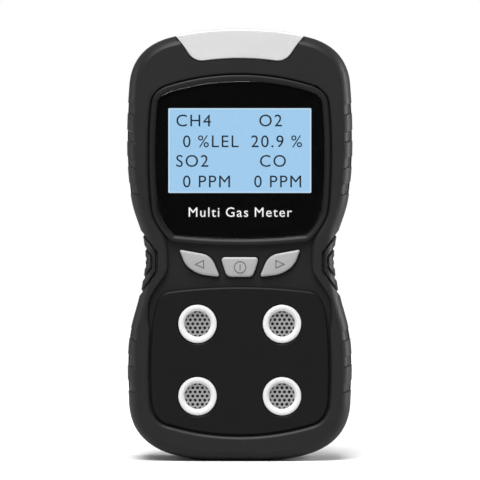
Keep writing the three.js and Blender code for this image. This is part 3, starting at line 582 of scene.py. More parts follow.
def evaluated_mesh(obj: bpy.types.Object) -> bpy.types.Mesh:
    """Returns a new plain mesh of an object with its modifiers applied.

    Args:
        obj: The object.

    Returns:
        The new mesh.
    """
    graph = bpy.context.evaluated_depsgraph_get()
    graph.update()
    return bpy.data.meshes.new_from_object(obj.evaluated_get(graph), depsgraph=graph)


def bake_modifiers(obj: bpy.types.Object, smooth_deg: float = 35) -> None:
    """Replaces an object's mesh by the result of its modifiers, and removes them.

    Args:
        obj: The object, changed in place.
        smooth_deg: Edges sharper than this stay sharp.
    """
    mesh = evaluated_mesh(obj)
    obj.modifiers.clear()
    obj.data = mesh
    mesh.shade_smooth()
    mesh.set_sharp_from_angle(angle=math.radians(smooth_deg))


def carve(obj: bpy.types.Object, cutters: list[bpy.types.Object], smooth_deg: float = 35) -> None:
    """Cuts each cutter out of an object, and removes the cutters.

    Args:
        obj: The object that is cut.
        cutters: What is cut out of it.
        smooth_deg: Edges sharper than this stay sharp.
    """
    for cutter in cutters:
        modifier = obj.modifiers.new("cut", "BOOLEAN")
        modifier.operation = "DIFFERENCE"
        modifier.solver = "EXACT"
        modifier.object = cutter
        bake_modifiers(obj, smooth_deg)
        bpy.data.objects.remove(cutter, do_unlink=True)


# ---- Finishes ----


class Grain(Enum):
    """How a finish's fine relief is made."""

    MOULDED = "moulded"
    BRUSHED = "brushed"
    SMOOTH = "smooth"


@dataclass(frozen=True)
class Finish:
    """A surface: its colour, shine and fine relief. Colours are linear, and scales are for each metre."""

    name: str
    color: tuple[float, float, float]
    roughness: float
    metallic: float = 0.0
    grain: Grain = Grain.MOULDED
    grain_scale: float = 2600.0
    grain_depth: float = 0.02
    shade: float = 0.12
    roughness_shift: float = 0.08
    specular: float = 0.5
    subsurface: float = 0.0
    transmission: float = 0.0
    coat: float = 0.0
    sheen: float = 0.0

    def material(self) -> bpy.types.Material:
        """Returns this finish as a material, and builds it at the first call.

        Returns:
            The material.
        """
        found = bpy.data.materials.get(f"finish_{self.name}")
        if found:
            return found
        material = bpy.data.materials.new(f"finish_{self.name}")
        material.use_nodes = True
        tree = material.node_tree
        shader = tree.nodes["Principled BSDF"]
        self.set_constants(shader)
        place = self.place_node(tree)
        broad = noise_node(tree, place, 140.0, 3.0)
        fine = noise_node(tree, place, self.grain_scale, 4.0)
        self.link_color(tree, shader, broad, fine)
        self.link_roughness(tree, shader, fine)
        if self.grain is not Grain.SMOOTH:
            bump = tree.nodes.new("ShaderNodeBump")
            bump.inputs["Strength"].default_value = 0.5
            bump.inputs["Distance"].default_value = self.grain_depth * MM
            tree.links.new(fine.outputs["Fac"], bump.inputs["Height"])
            tree.links.new(bump.outputs["Normal"], shader.inputs["Normal"])
        return material

    def set_constants(self, shader: bpy.types.Node) -> None:
        """Sets what is the same all over the surface.

        Args:
            shader: The material's shader.
        """
        shader.inputs["Metallic"].default_value = self.metallic
        shader.inputs["Specular IOR Level"].default_value = self.specular
        shader.inputs["Subsurface Weight"].default_value = self.subsurface
        shader.inputs["Subsurface Scale"].default_value = 0.002
        shader.inputs["Subsurface Radius"].default_value = (1, 1, 1)
        shader.inputs["Transmission Weight"].default_value = self.transmission
        shader.inputs["Coat Weight"].default_value = self.coat
        shader.inputs["Coat Roughness"].default_value = 0.08
        shader.inputs["Sheen Weight"].default_value = self.sheen

    def place_node(self, tree: bpy.types.NodeTree) -> bpy.types.NodeSocket:
        """Returns the coordinates of the pattern, drawn out along Z on a brushed surface.

        Args:
            tree: The node tree.

        Returns:
            The socket that gives the coordinates.
        """
        place = tree.nodes.new("ShaderNodeTexCoord")
        mapping = tree.nodes.new("ShaderNodeMapping")
        stretch = 0.03 if self.grain is Grain.BRUSHED else 1.0
        mapping.inputs["Scale"].default_value = (1.0, 1.0, stretch)
        tree.links.new(place.outputs["Object"], mapping.inputs["Vector"])
        return mapping.outputs["Vector"]

    def link_color(self, tree: bpy.types.NodeTree, shader: bpy.types.Node, broad: bpy.types.Node,
                   fine: bpy.types.Node) -> None:
        """Varies the colour gently over the surface.

        Args:
            tree: The node tree.
            shader: The material's shader.
            broad: The wide, slow noise.
            fine: The grain.
        """
        mixed = tree.nodes.new("ShaderNodeMath")
        mixed.operation = "MULTIPLY_ADD"
        mixed.inputs[1].default_value = 0.6
        tree.links.new(broad.outputs["Fac"], mixed.inputs[0])
        half = tree.nodes.new("ShaderNodeMath")
        half.operation = "MULTIPLY"
        half.inputs[1].default_value = 0.4
        tree.links.new(fine.outputs["Fac"], half.inputs[0])
        tree.links.new(half.outputs[0], mixed.inputs[2])
        ramp = tree.nodes.new("ShaderNodeValToRGB")
        low, high = ramp.color_ramp.elements
        low.position, high.position = 0.25, 0.75
        low.color = (*(c * (1 - self.shade) for c in self.color), 1)
        high.color = (*(min(1.0, c * (1 + self.shade)) for c in self.color), 1)
        tree.links.new(mixed.outputs[0], ramp.inputs["Fac"])
        tree.links.new(ramp.outputs["Color"], shader.inputs["Base Color"])

    def link_roughness(self, tree: bpy.types.NodeTree, shader: bpy.types.Node, fine: bpy.types.Node) -> None:
        """Varies the roughness with the grain.

        Args:
            tree: The node tree.
            shader: The material's shader.
            fine: The grain.
        """
        spread = tree.nodes.new("ShaderNodeMapRange")
        spread.inputs["To Min"].default_value = max(0.02, self.roughness - self.roughness_shift)
        spread.inputs["To Max"].default_value = min(1.0, self.roughness + self.roughness_shift)
        tree.links.new(fine.outputs["Fac"], spread.inputs["Value"])
        tree.links.new(spread.outputs["Result"], shader.inputs["Roughness"])


def noise_node(tree: bpy.types.NodeTree, place: bpy.types.NodeSocket, scale: float,
               detail: float) -> bpy.types.Node:
    """Adds a noise texture at a scale for each metre.

    Args:
        tree: The node tree.
        place: Where the pattern is read.
        scale: How fine it is, for each metre.
        detail: How many finer layers it has.

    Returns:
        The new node.
    """
    node = tree.nodes.new("ShaderNodeTexNoise")
    node.inputs["Scale"].default_value = scale
    node.inputs["Detail"].default_value = detail
    tree.links.new(place, node.inputs["Vector"])
    return node


@dataclass(frozen=True)
class ClearSheet:
    """Clear acrylic: a thin sheet that is seen through and shines by its angle."""

    name: str = "clear_acrylic"
    straight_on: float = 0.035
    falloff: float = 5.0
    roughness: float = 0.03

    def material(self) -> bpy.types.Material:
        """Returns the material, and builds it at the first call.

        Returns:
            The material.
        """
        found = bpy.data.materials.get(f"finish_{self.name}")
        if found:
            return found
        material = bpy.data.materials.new(f"finish_{self.name}")
        material.use_nodes = True
        tree = material.node_tree
        tree.nodes.remove(tree.nodes["Principled BSDF"])
        mix = tree.nodes.new("ShaderNodeMixShader")
        facing = tree.nodes.new("ShaderNodeLayerWeight")
        facing.inputs["Blend"].default_value = 0.5
        steep = tree.nodes.new("ShaderNodeMath")
        steep.operation = "POWER"
        steep.inputs[1].default_value = self.falloff
        tree.links.new(facing.outputs["Facing"], steep.inputs[0])
        shine = tree.nodes.new("ShaderNodeMapRange")
        shine.inputs["To Min"].default_value = self.straight_on
        tree.links.new(steep.outputs[0], shine.inputs["Value"])
        clear = tree.nodes.new("ShaderNodeBsdfTransparent")
        gloss = tree.nodes.new("ShaderNodeBsdfGlossy")
        gloss.inputs["Roughness"].default_value = self.roughness
        tree.links.new(shine.outputs["Result"], mix.inputs[0])
        tree.links.new(clear.outputs[0], mix.inputs[1])
        tree.links.new(gloss.outputs[0], mix.inputs[2])
        tree.links.new(mix.outputs[0], tree.nodes["Material Output"].inputs["Surface"])
        return material


@dataclass(frozen=True)
class LitFilm:
    """A lit display layer: it glows in one colour, with a faint grid of cells."""

    name: str
    color: tuple[float, float, float]
    strength: float = 1.0
    cell: float = 2200.0
    contrast: float = 0.06

    def material(self) -> bpy.types.Material:
        """Returns the material, and builds it at the first call.

        Returns:
            The material.
        """
        found = bpy.data.materials.get(f"finish_{self.name}")
        if found:
            return found
        material = bpy.data.materials.new(f"finish_{self.name}")
        material.use_nodes = True
        tree = material.node_tree
        shader = tree.nodes["Principled BSDF"]
        shader.inputs["Roughness"].default_value = 0.5
        shader.inputs["Specular IOR Level"].default_value = 0.2
        shader.inputs["Emission Strength"].default_value = self.strength
        place = tree.nodes.new("ShaderNodeTexCoord")
        wave = tree.nodes.new("ShaderNodeTexNoise")
        wave.inputs["Scale"].default_value = self.cell
        wave.inputs["Detail"].default_value = 1.0
        tree.links.new(place.outputs["Object"], wave.inputs["Vector"])
        ramp = tree.nodes.new("ShaderNodeValToRGB")
        low, high = ramp.color_ramp.elements
        low.color = (*(c * (1 - self.contrast) for c in self.color), 1)
        high.color = (*(min(1.0, c * (1 + self.contrast)) for c in self.color), 1)
        tree.links.new(wave.outputs["Fac"], ramp.inputs["Fac"])
        tree.links.new(ramp.outputs["Color"], shader.inputs["Emission Color"])
        shader.inputs["Base Color"].default_value = (0.01, 0.012, 0.015, 1)
        return material


BOOT_RUBBER = Finish("boot_rubber", (0.013, 0.013, 0.013), 0.46, grain_scale=3200, grain_depth=0.03,
                     specular=0.24)
HOUSING_PLASTIC = Finish("housing_plastic", (0.008, 0.008, 0.0083), 0.5, grain_scale=3600, grain_depth=0.025,
                         specular=0.25)
COVER_PLASTIC = Finish("cover_plastic", (0.007, 0.007, 0.0072), 0.45, grain_scale=3600, grain_depth=0.02,
                       specular=0.13)
BEZEL_PLASTIC = Finish("bezel_plastic", (0.008, 0.008, 0.008), 0.46, grain_scale=3000, grain_depth=0.01,
                       specular=0.24)
MASK_BLACK = Finish("mask_black", (0.0008, 0.0008, 0.0009), 0.4, grain=Grain.SMOOTH, roughness_shift=0.0,
                    specular=0.04)
KEY_PLASTIC = Finish("key_plastic", (0.36, 0.36, 0.365), 0.42, grain_scale=2600, grain_depth=0.01, shade=0.04)
ICON_GREY = Finish("icon_grey", (0.09, 0.09, 0.092), 0.6, grain=Grain.SMOOTH, shade=0.05)
WHITE_PLASTIC = Finish("white_plastic", (0.74, 0.74, 0.74), 0.34, grain_scale=2400, grain_depth=0.006,
                       shade=0.03)
LENS_PLASTIC = Finish("lens_plastic", (0.60, 0.60, 0.60), 0.34, grain_scale=900, grain_depth=0.006, shade=0.03,
                      subsurface=0.25)
MESH_STEEL = Finish("mesh_steel", (0.47, 0.47, 0.47), 0.38, metallic=0.75, grain_scale=2600, grain_depth=0.012)
CLIP_STEEL = Finish("clip_steel", (0.40, 0.40, 0.41), 0.28, metallic=1.0, grain=Grain.BRUSHED, grain_scale=2600,
                    grain_depth=0.012, shade=0.1)
SCREW_STEEL = Finish("screw_steel", (0.45, 0.45, 0.46), 0.34, metallic=1.0, grain_scale=1800, grain_depth=0.01)
SEAL_RUBBER = Finish("seal_rubber", (0.06, 0.06, 0.06), 0.7, grain_scale=2000, grain_depth=0.03)
BOARD_GREEN = Finish("board_green", (0.012, 0.1, 0.035), 0.4, grain_scale=1200, grain_depth=0.01)
# Near-black gas cells: a colour that such cells can have, and partly painted shade, so that the holes of the
# port meshes in front of them read dark and deep.
CELL_PLASTIC_AND_HOLE_SHADE = Finish("cell_plastic", (0.02, 0.02, 0.021), 0.5, grain_scale=2000, grain_depth=0.01)
BATTERY_WRAP = Finish("battery_wrap", (0.02, 0.07, 0.26), 0.35, grain_scale=600, grain_depth=0.01)
RIBBON_FILM = Finish("ribbon_film", (0.45, 0.14, 0.02), 0.35, grain_scale=1500, grain_depth=0.01)
PART_BLACK = Finish("part_black", (0.012, 0.012, 0.012), 0.5, grain_scale=2400, grain_depth=0.02)
LABEL_WHITE = Finish("label_white", (0.95, 0.95, 0.95), 0.5, grain=Grain.SMOOTH, shade=0.02)
LCD_LIT = LitFilm("lcd_lit", (0.36, 0.62, 0.88), 1.0)
LCD_EDGE = LitFilm("lcd_edge", (0.62, 0.80, 0.94), 1.0)
LCD_INK = LitFilm("lcd_ink", (0.004, 0.012, 0.03), 0.5, contrast=0.3)
CLEAR_ACRYLIC = ClearSheet()


def dress(obj: bpy.types.Object, finish: Finish | LitFilm | ClearSheet) -> None:
    """Gives an object one finish all over."""
    obj.data.materials.clear()
    obj.data.materials.append(finish.material())


def place(obj: bpy.types.Object, finish: Finish | LitFilm | ClearSheet, slot: str, *nodes: str,
          body: str = HOME_BODY) -> bpy.types.Object:
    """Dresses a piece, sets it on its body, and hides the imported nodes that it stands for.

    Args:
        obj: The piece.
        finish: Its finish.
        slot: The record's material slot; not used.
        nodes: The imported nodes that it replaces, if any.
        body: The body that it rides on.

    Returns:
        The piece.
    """
    dress(obj, finish)
    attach(obj, body)
    if nodes:
        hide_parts(*nodes)
    LOG.info("%s: %d faces, on %s", obj.name, len(obj.data.polygons), body)
    return obj


# ---- Boot ----


@dataclass
class Boot:
    """The rubber boot: a band round the body with lips in front and behind, notches and chevrons."""

    layout: Layout
    wall: float = 3.0
    edge_reach: float = 3.3
    edge_depth: float = 6.2
    rear_reach: float = 4.5
    rear_depth: float = 5.0
    rear_lip: float = 6.0
    gap: float = 0.35
    margin: float = 0.5
    lens_gap: float = 0.14
    lip_width: float = 1.1
    crease: float = 0.28
    notch_height: float = 3.4
    notch_reach: float = 2.8
    notch_depth: float = 0.65
    notch_end: float = -6.0
    notch_slant: float = 0.42
    chevron_slope: float = 1.25
    chevron_width: float = 0.62
    chevron_depth: float = 1.05
    past_side: float = 9
    terrace: float = 0.2

    def notch_heights(self) -> list[float]:
        """Returns the middle height of each side notch.

        Returns:
            The heights, in millimetres.
        """
        upper = [self.layout.height - 26.2 - 8.9 * i for i in range(4)]
        lower = [self.layout.waist_z - 26.3 - 8.6 * i for i in range(3)]
        return upper + lower

    def stations(self, outline: np.ndarray) -> tuple[np.ndarray, np.ndarray]:
        """Chooses where along the silhouette the band has its rings of points.

        Args:
            outline: The silhouette, finely and evenly spaced.

        Returns:
            The length along the silhouette of each station, and of each outline point.
        """
        closed = np.vstack((outline, outline[:1]))
        length = np.concatenate(([0], np.cumsum(np.linalg.norm(np.diff(closed, axis=0), axis=1))))
        chosen = list(np.arange(0, length[-1], 0.85))
        heights = outline[:, 1]
        near_grip = (np.abs(heights - self.layout.grip_z) < 12) & (np.abs(outline[:, 0]) > 20)
        chosen += list(length[:-1][near_grip])
        side = np.abs(outline[:, 0]) > self.layout.half * 0.8
        for z in self.notch_heights():
            for edge in (z - self.notch_height / 2, z + self.notch_height / 2):
                for sign in (-1, 1):
                    spots = np.where(side & (np.sign(outline[:, 0]) == sign))[0]
                    at = length[spots[np.argmin(np.abs(heights[spots] - edge))]]
                    chosen += [at - 0.07, at + 0.07]
        chosen = np.unique(np.round(np.array(chosen) % length[-1], 4))
        keep = np.concatenate(([True], np.diff(chosen) > 0.05))
        return chosen[keep], length

    def profile(self) -> list[tuple[str, float, float]]:
        """Returns the band's section: how its inset is counted, the inset, and Y.

        Returns:
            One row for each line of the section.
        """
        front, rear = self.layout.boot_front, self.layout.boot_rear
        back, inside = self.layout.back + 0.25, self.layout.face - 0.25
        lip = [("edge", 0, inside), ("edge", 0, front + 1.2), ("edge", 0.09, front + 0.82),
               ("edge", 0.32, front + 0.45), ("edge", 0.66, front + 0.2),
               ("edge", self.lip_width, front + 0.07)]
        lip += [("share", t, front + 0.07 * (1 - t)) for t in np.linspace(0, 1, 24)[1:]]
        turn = np.linspace(self.crease, math.pi / 2, 40)[1:]
        across, down = math.sin(self.crease) ** 1.15, math.cos(self.crease) ** 0.9
        rounding = [("inset", self.edge_reach * (1 - math.sin(t) ** 1.15) / (1 - across),
                     front + self.edge_depth * (down - math.cos(t) ** 0.9) / down) for t in turn]
        flank_front, flank_rear = front + self.edge_depth, rear - self.rear_depth
        flank = [("inset", 0, y) for y in (-9, self.notch_end - 0.07, self.notch_end + 0.07, -3, 0, 4, 8)
                 if flank_front < y < flank_rear]
        turn = np.linspace(0, math.pi / 2, 10)
        behind = [("inset", self.rear_reach * (1 - math.cos(t)), rear - self.rear_depth * (1 - math.sin(t)))
                  for t in turn]
        lip_back = [("inset", self.rear_lip - 0.3, rear), ("inset", self.rear_lip, rear - 0.3),
                    ("inset", self.rear_lip, back), ("inset", self.wall, back), ("inset", self.wall, inside)]
        return lip + rounding + flank + behind + lip_back

    def relief(self, x: np.ndarray, z: np.ndarray, y: float, depth: float, station_z: np.ndarray,
               on_side: np.ndarray) -> np.ndarray:
        """Works out how deep the notches and chevrons are at points of one line of the band.

        Args:
            x: Their distance from the centre line.
            z: Their height.
            y: Their depth.
            depth: Their inset from the silhouette.
            station_z: The height of the silhouette where each was measured from.
            on_side: Whether each is on the left or right side.

        Returns:
            The depth of the relief at each point.
        """
        cut = np.zeros(len(x))
        if depth <= self.notch_reach and y < self.notch_end:
            for middle_z in self.notch_heights():
                inside = (np.abs(station_z - middle_z) < self.notch_height / 2) & on_side
                cut = np.where(inside, self.notch_depth, cut)
        if y < 12:
            waist = self.layout.half - self.layout.waist_inset
            away = np.abs(z - self.layout.grip_z)
            scale = math.hypot(1, self.chevron_slope)
            for nose, flat in ((waist - 4.2, 3.2), (waist - 2.3, 1.75), (waist - 0.4, 0.7)):
                slope = (away - flat - self.chevron_slope * (x - nose)) / scale
                signed = np.maximum(nose - x, slope)
                groove = np.clip((self.chevron_width / 2 - np.abs(signed)) / 0.3 + 0.5, 0, 1)
                level = np.clip(-signed / 0.35, 0, 1)
                near = on_side & (away < 14)
                cut = cut + np.where(near, groove * self.chevron_depth + level * self.terrace, 0)
        return cut

    def build(self) -> bpy.types.Object:
        """Builds the boot.

        Returns:
            The object.
        """
        layout = self.layout
        outline = even(layout.silhouette(), 0.2)
        normals = normals_of(outline)
        targets = [even(inset(layout.bezel(), -self.gap), 0.5), even(inset(layout.cover(), -self.margin), 0.5),
                   layout.neck()]
        sparse = slice(None, None, 4)
        reach = reach_inwards(outline[sparse], normals[sparse], targets)
        window = np.hanning(9)
        padded = np.concatenate((reach[-4:], reach, reach[:4]))
        reach = np.convolve(padded, window / window.sum(), "valid")
        stations, length = self.stations(outline)
        total = length[-1]

        def along(values: np.ndarray, at: np.ndarray, grid: np.ndarray) -> np.ndarray:
            """Reads values given round the silhouette at other lengths along it."""
            return np.interp(at, grid, np.concatenate((values, values[:1])), period=total)

        grid, coarse = length, np.append(length[:-1][sparse], total)
        lean = along(normals[:, 0], stations, grid)
        station_z = along(outline[:, 1], stations, grid)
        on_side = np.abs(lean) > 0.6
        lines = self.profile()
        rings = []
        for i, (kind, value, y) in enumerate(lines):
            at = stations.copy()
            for _ in range(2):
                width = along(reach, at, coarse)
                step = {"edge": width - value,
                        "share": (width - self.lip_width) * (1 - value) + self.edge_reach * value,
                        "inset": np.full(len(at), value)}[kind]
                if y < self.notch_end:
                    at = stations - self.notch_slant * np.sign(lean) * np.minimum(step, 3.2) * np.clip(
                        (np.abs(lean) - 0.5) * 4, 0, 1)
            base_x, base_z = along(outline[:, 0], at, grid), along(outline[:, 1], at, grid)
            nx, nz = along(normals[:, 0], at, grid), along(normals[:, 1], at, grid)
            norm = np.hypot(nx, nz)
            nx, nz = nx / norm, nz / norm
            x, z = base_x - nx * step, base_z - nz * step
            depth = float(step.mean()) if kind != "inset" else value
            skin = kind != "inset" or i < len(lines) - 5
            reached = depth if kind == "inset" else self.past_side
            cut = self.relief(np.abs(x), z, y, reached, station_z, on_side) if skin else 0
            tilt = self.tilt(lines, i)
            inwards, backwards = cut * tilt[0], np.full(len(x), y) + cut * tilt[1]
            rings.append(np.stack((x - nx * inwards, backwards, z - nz * inwards), 1))
        boot = swept("boot", np.array(rings), closed=True, smooth_deg=30)
        hole = even(inset(layout.lens(), -self.lens_gap), 0.4)
        pocket = prism("pocket", hole, layout.boot_front - 2, layout.back + 0.25)
        carve(boot, [pocket], smooth_deg=30)
        return place(boot, BOOT_RUBBER, "boot_rubber", "protective_boot")

    @staticmethod
    def tilt(lines: list[tuple[str, float, float]], i: int) -> tuple[float, float]:
        """Returns how much of a cut at line i of the section goes in from the side, and how much back.

        Args:
            lines: The band's section.
            i: The line.

        Returns:
            The share from the side, and the share back.
        """
        kind, value, y = lines[i]
        if kind != "inset":
            return 0.0, 1.0
        before, after = lines[i - 1], lines[(i + 1) % len(lines)]
        inset_before = before[1] if before[0] == "inset" else value
        run, rise = after[1] - inset_before, after[2] - before[2]
        size = max(math.hypot(run, rise), 1e-6)
        return abs(rise) / size, (abs(run) / size) * (1 if y < 0 else -1)


# ---- Shells ----


@dataclass
class Shells:
    """The front shell's face and edge."""

    layout: Layout
    wall: float = 2.0
    boot_wall: float = 3.25
    key_gap: float = 0.42

    def build(self) -> None:
        """Builds the front shell with smooth key holes."""
        layout = self.layout
        lens = even(inset(layout.lens(), -0.35), 0.5)
        outline = even(inset(even(layout.silhouette(), 0.6), self.boot_wall), 0.8)
        shell = pillow("front_shell", outline, [(0, -0.1), (0, layout.face + 0.3), (0.3, layout.face)])
        low, high = span("lcd_panel")
        cutters = [prism("hollow", inset(outline, self.wall), layout.face + self.wall, 1),
                   prism("lens_cut", lens, layout.face - 1, 1),
                   prism("display_cut", rectangle(low.x - 0.25, high.x + 0.25, low.z - 0.25, high.z + 0.25, 1),
                         layout.face - 1, layout.face + 3)]
        for key in (layout.side_key(-1), layout.power_key(), layout.side_key(1)):
            cutters.append(prism("key_cut", inset(key, -self.key_gap), layout.face - 1, layout.face + 3))
        for i in range(1, 5):
            ring = middle(f"sensor_ring_{i}")
            cutters.append(prism("port_cut", circle(ring.x, ring.z, 6.0), layout.face - 1, layout.face + 3))
        carve(shell, cutters)
        place(shell, HOUSING_PLASTIC, "housing_plastic", "front_housing")


@dataclass
class AlarmLens:
    """The white lens across the top of the body."""

    layout: Layout
    recess: float = 0.4
    rim: float = 0.5
    edge_depth: float = 2.4
    front_drop: float = 0.9
    back_depth: float = 5.0
    back_drop: float = 2.2

    def build(self) -> bpy.types.Object:
        """Builds the lens as a solid bar that follows the boot's rounded edges.

        Returns:
            The object.
        """
        layout = self.layout
        front, back = layout.boot_front + self.recess, layout.back - 0.1
        outline = even(layout.lens(), 0.3)
        crown = layout.height
        steps = [(0.0, 0.0)] + [(1 - math.cos(t), math.sin(t)) for t in np.linspace(0, math.pi / 2, 9)[1:]]
        rings = []
        rings.append(self.ring(outline, crown, front, self.front_drop + 0.05, self.rim + 0.05))
        for ease, share in steps:
            rings.append(self.ring(outline, crown, front + self.edge_depth * ease,
                                   self.front_drop * (1 - share), self.rim * (1 - share)))
        shoulder = back - self.back_depth
        for ease, share in steps:
            depth = shoulder + self.back_depth * share
            rings.append(self.ring(outline, crown, depth, self.back_drop * ease, 0.0))
        lens = swept("lens", np.array(rings), closed=False)
        return place(lens, LENS_PLASTIC, "lens_plastic", "alarm_lens")

    @staticmethod
    def ring(outline: np.ndarray, crown: float, y: float, lower: float, shrink: float) -> np.ndarray:
        """Returns the outline at a depth, with its crown lowered and its edge drawn in.

        Args:
            outline: The outline.
            crown: The height of its top.
            y: The depth.
            lower: How far the crown is lowered.
            shrink: How far the edge is drawn in.

        Returns:
            The points, as rows of x, y and z.
        """
        share = np.clip((outline[:, 1] - (crown - 7)) / 7, 0, 1)
        points = outline + (inset(outline, shrink) - outline) * (1 - share[:, None])
        points = np.stack((points[:, 0], points[:, 1] - lower * share), 1)
        return raised(points, y)


# ---- Display ----

# What the display shows: how far each reading starts to the right of the panel's middle and above it, in mm.
READINGS = ((-21.3, 10.1, "CH4"), (6.2, 10.1, "O2"), (-19.0, 3.2, "0 %LEL"), (3.6, 3.2, "20.9 %"),
            (-21.3, -3.3, "SO2"), (6.4, -3.3, "CO"), (-19.0, -10.1, "0 PPM"), (4.6, -10.1, "0 PPM"))
LEGEND = "Multi Gas Meter"

@dataclass
class Display:
    """The bezel, the window with its black mask, the lit panel and what it shows."""

    layout: Layout
    rim: float = 1.95
    ink: float = 0.03
    reading_height: float = 4.15
    reading_weight: float = 0.6
    legend_height: float = 3.3
    legend_weight: float = 0.45
    legend_rise: float = 11.0
    print_thickness: float = 0.02

    def build(self) -> None:
        """Builds every piece of the display."""
        self.build_bezel()
        self.build_window()
        self.build_panel()
        self.build_readings()

    def build_bezel(self) -> None:
        """Builds the rounded frame of the window."""
        low, high = span("display_bezel")
        front, back = low.y, high.y
        profile = [(0, back), (0, front + 0.55), (0.1, front + 0.2), (0.35, front + 0.03), (0.7, front),
                   (1.05, front + 0.06), (1.4, front + 0.22), (1.7, front + 0.5), (self.rim, front + 0.8),
                   (self.rim, back)]
        bezel = band("bezel", even(self.layout.bezel(), 0.4), profile)
        place(bezel, BEZEL_PLASTIC, "bezel_plastic", "display_bezel")

    def window_outline(self) -> np.ndarray:
        """Returns the outline of the window, just inside the bezel."""
        return even(inset(even(self.layout.bezel(), 0.4), self.rim + 0.08), 0.4)

    def build_window(self) -> None:
        """Builds the clear sheet and the black mask behind it."""
        low, high = span("display_window")
        profile = [(0, high.y), (0, low.y + 0.25), (0.08, low.y + 0.07), (0.25, low.y)]
        sheet = pillow("window_sheet", self.window_outline(), profile)
        place(sheet, CLEAR_ACRYLIC, "clear_window", "display_window")
        low, high = span("window_mask")
        mask = prism("mask", self.window_outline(), low.y, high.y)
        carve(mask, [prism("sight", self.sight(0), low.y - 1, high.y + 1)])
        place(mask, MASK_BLACK, "mask_black", "window_mask")

    def sight(self, margin: float) -> np.ndarray:
        """Returns the outline of the lit area, grown by a margin.

        Args:
            margin: How much larger it is all round, in millimetres.

        Returns:
            The outline, as rows of x and z.
        """
        low, high = span("lcd_panel")
        border = 2.0 - margin
        return rectangle(low.x + border, high.x - border, low.z + border, high.z - border, 0.4)

    def build_panel(self) -> None:
        """Builds the lit panel and the pale line round it."""
        low, high = span("lcd_panel")
        panel = prism("lcd", rectangle(low.x, high.x, low.z, high.z, 0.6), low.y, high.y)
        place(panel, LCD_LIT, "lcd_glass", "lcd_panel")
        line = band("lcd_edge_line", self.sight(0), [(0.05, low.y), (0.05, low.y - 0.02), (0.4, low.y - 0.02),
                                                      (0.4, low.y)])
        place(line, LCD_EDGE, "lcd_glass")

    def build_readings(self) -> None:
        """Sets the readings on the panel and the legend under it."""
        low, _ = span("lcd_panel")
        centre = middle("lcd_panel")
        pieces = [lettering(f"line_{i}", words, self.reading_height, centre.x + x, centre.z + z,
                            low.y - self.ink, self.ink, self.reading_weight)
                  for i, (x, z, words) in enumerate(READINGS)]
        ink = merge("lcd_readings", pieces)
        place(ink, LCD_INK, "lcd_glass")
        low, _ = span("window_mask")
        legend = lettering("legend", LEGEND, self.legend_height, 0, self.layout.bezel_foot + self.legend_rise,
                           low.y - self.print_thickness, self.print_thickness, self.legend_weight, centred=True)
        place(legend, LABEL_WHITE, "white_plastic")


def lettering(name: str, words: str, cap: float, x: float, z: float, y: float, thickness: float, weight: float,
              centred: bool = False) -> bpy.types.Object:
    """Makes flat letters that face the front.

    Args:
        name: The object's name.
        words: What they say.
        cap: The height of a capital letter, in millimetres.
        x: Where they start, or their middle if centred.
        z: The middle of their height.
        y: The depth of their front.
        thickness: How far back they reach.
        weight: How much bolder than the font they are, from 0 to 1.
        centred: Whether x is their middle.

    Returns:
        A mesh object.
    """
    text = bpy.data.curves.new(name, "FONT")
    text.body = words
    text.size = cap / 0.73
    text.space_character = 1.16
    text.space_word = 0.8
    text.offset = 0.02 * (weight - 0.25)
    text.resolution_u = 4
    text.extrude = thickness / 2
    text.align_x = "CENTER" if centred else "LEFT"
    source = bpy.data.objects.new(name + "_text", text)
    bpy.context.scene.collection.objects.link(source)
    mesh = evaluated_mesh(source)
    bpy.data.objects.remove(source, do_unlink=True)
    turn = Matrix.Rotation(math.pi / 2, 4, "X")
    move = Matrix.Translation(Vector((x, y + thickness / 2, z - cap / 2)))
    mesh.transform(Matrix.Scale(MM, 4) @ move @ turn)
    obj = bpy.data.objects.new(name, mesh)
    bpy.context.scene.collection.objects.link(obj)
    return obj


def merge(name: str, pieces: list[bpy.types.Object]) -> bpy.types.Object:
    """Joins several mesh objects into one, and removes them.

    Args:
        name: The result's name.
        pieces: The objects that are joined.

    Returns:
        The joined object.
    """
    work = bmesh.new()
    for piece in pieces:
        work.from_mesh(piece.data)
        bpy.data.objects.remove(piece, do_unlink=True)
    mesh = bpy.data.meshes.new(name)
    work.to_mesh(mesh)
    work.free()
    obj = bpy.data.objects.new(name, mesh)
    bpy.context.scene.collection.objects.link(obj)
    return obj


# ---- Keys ----


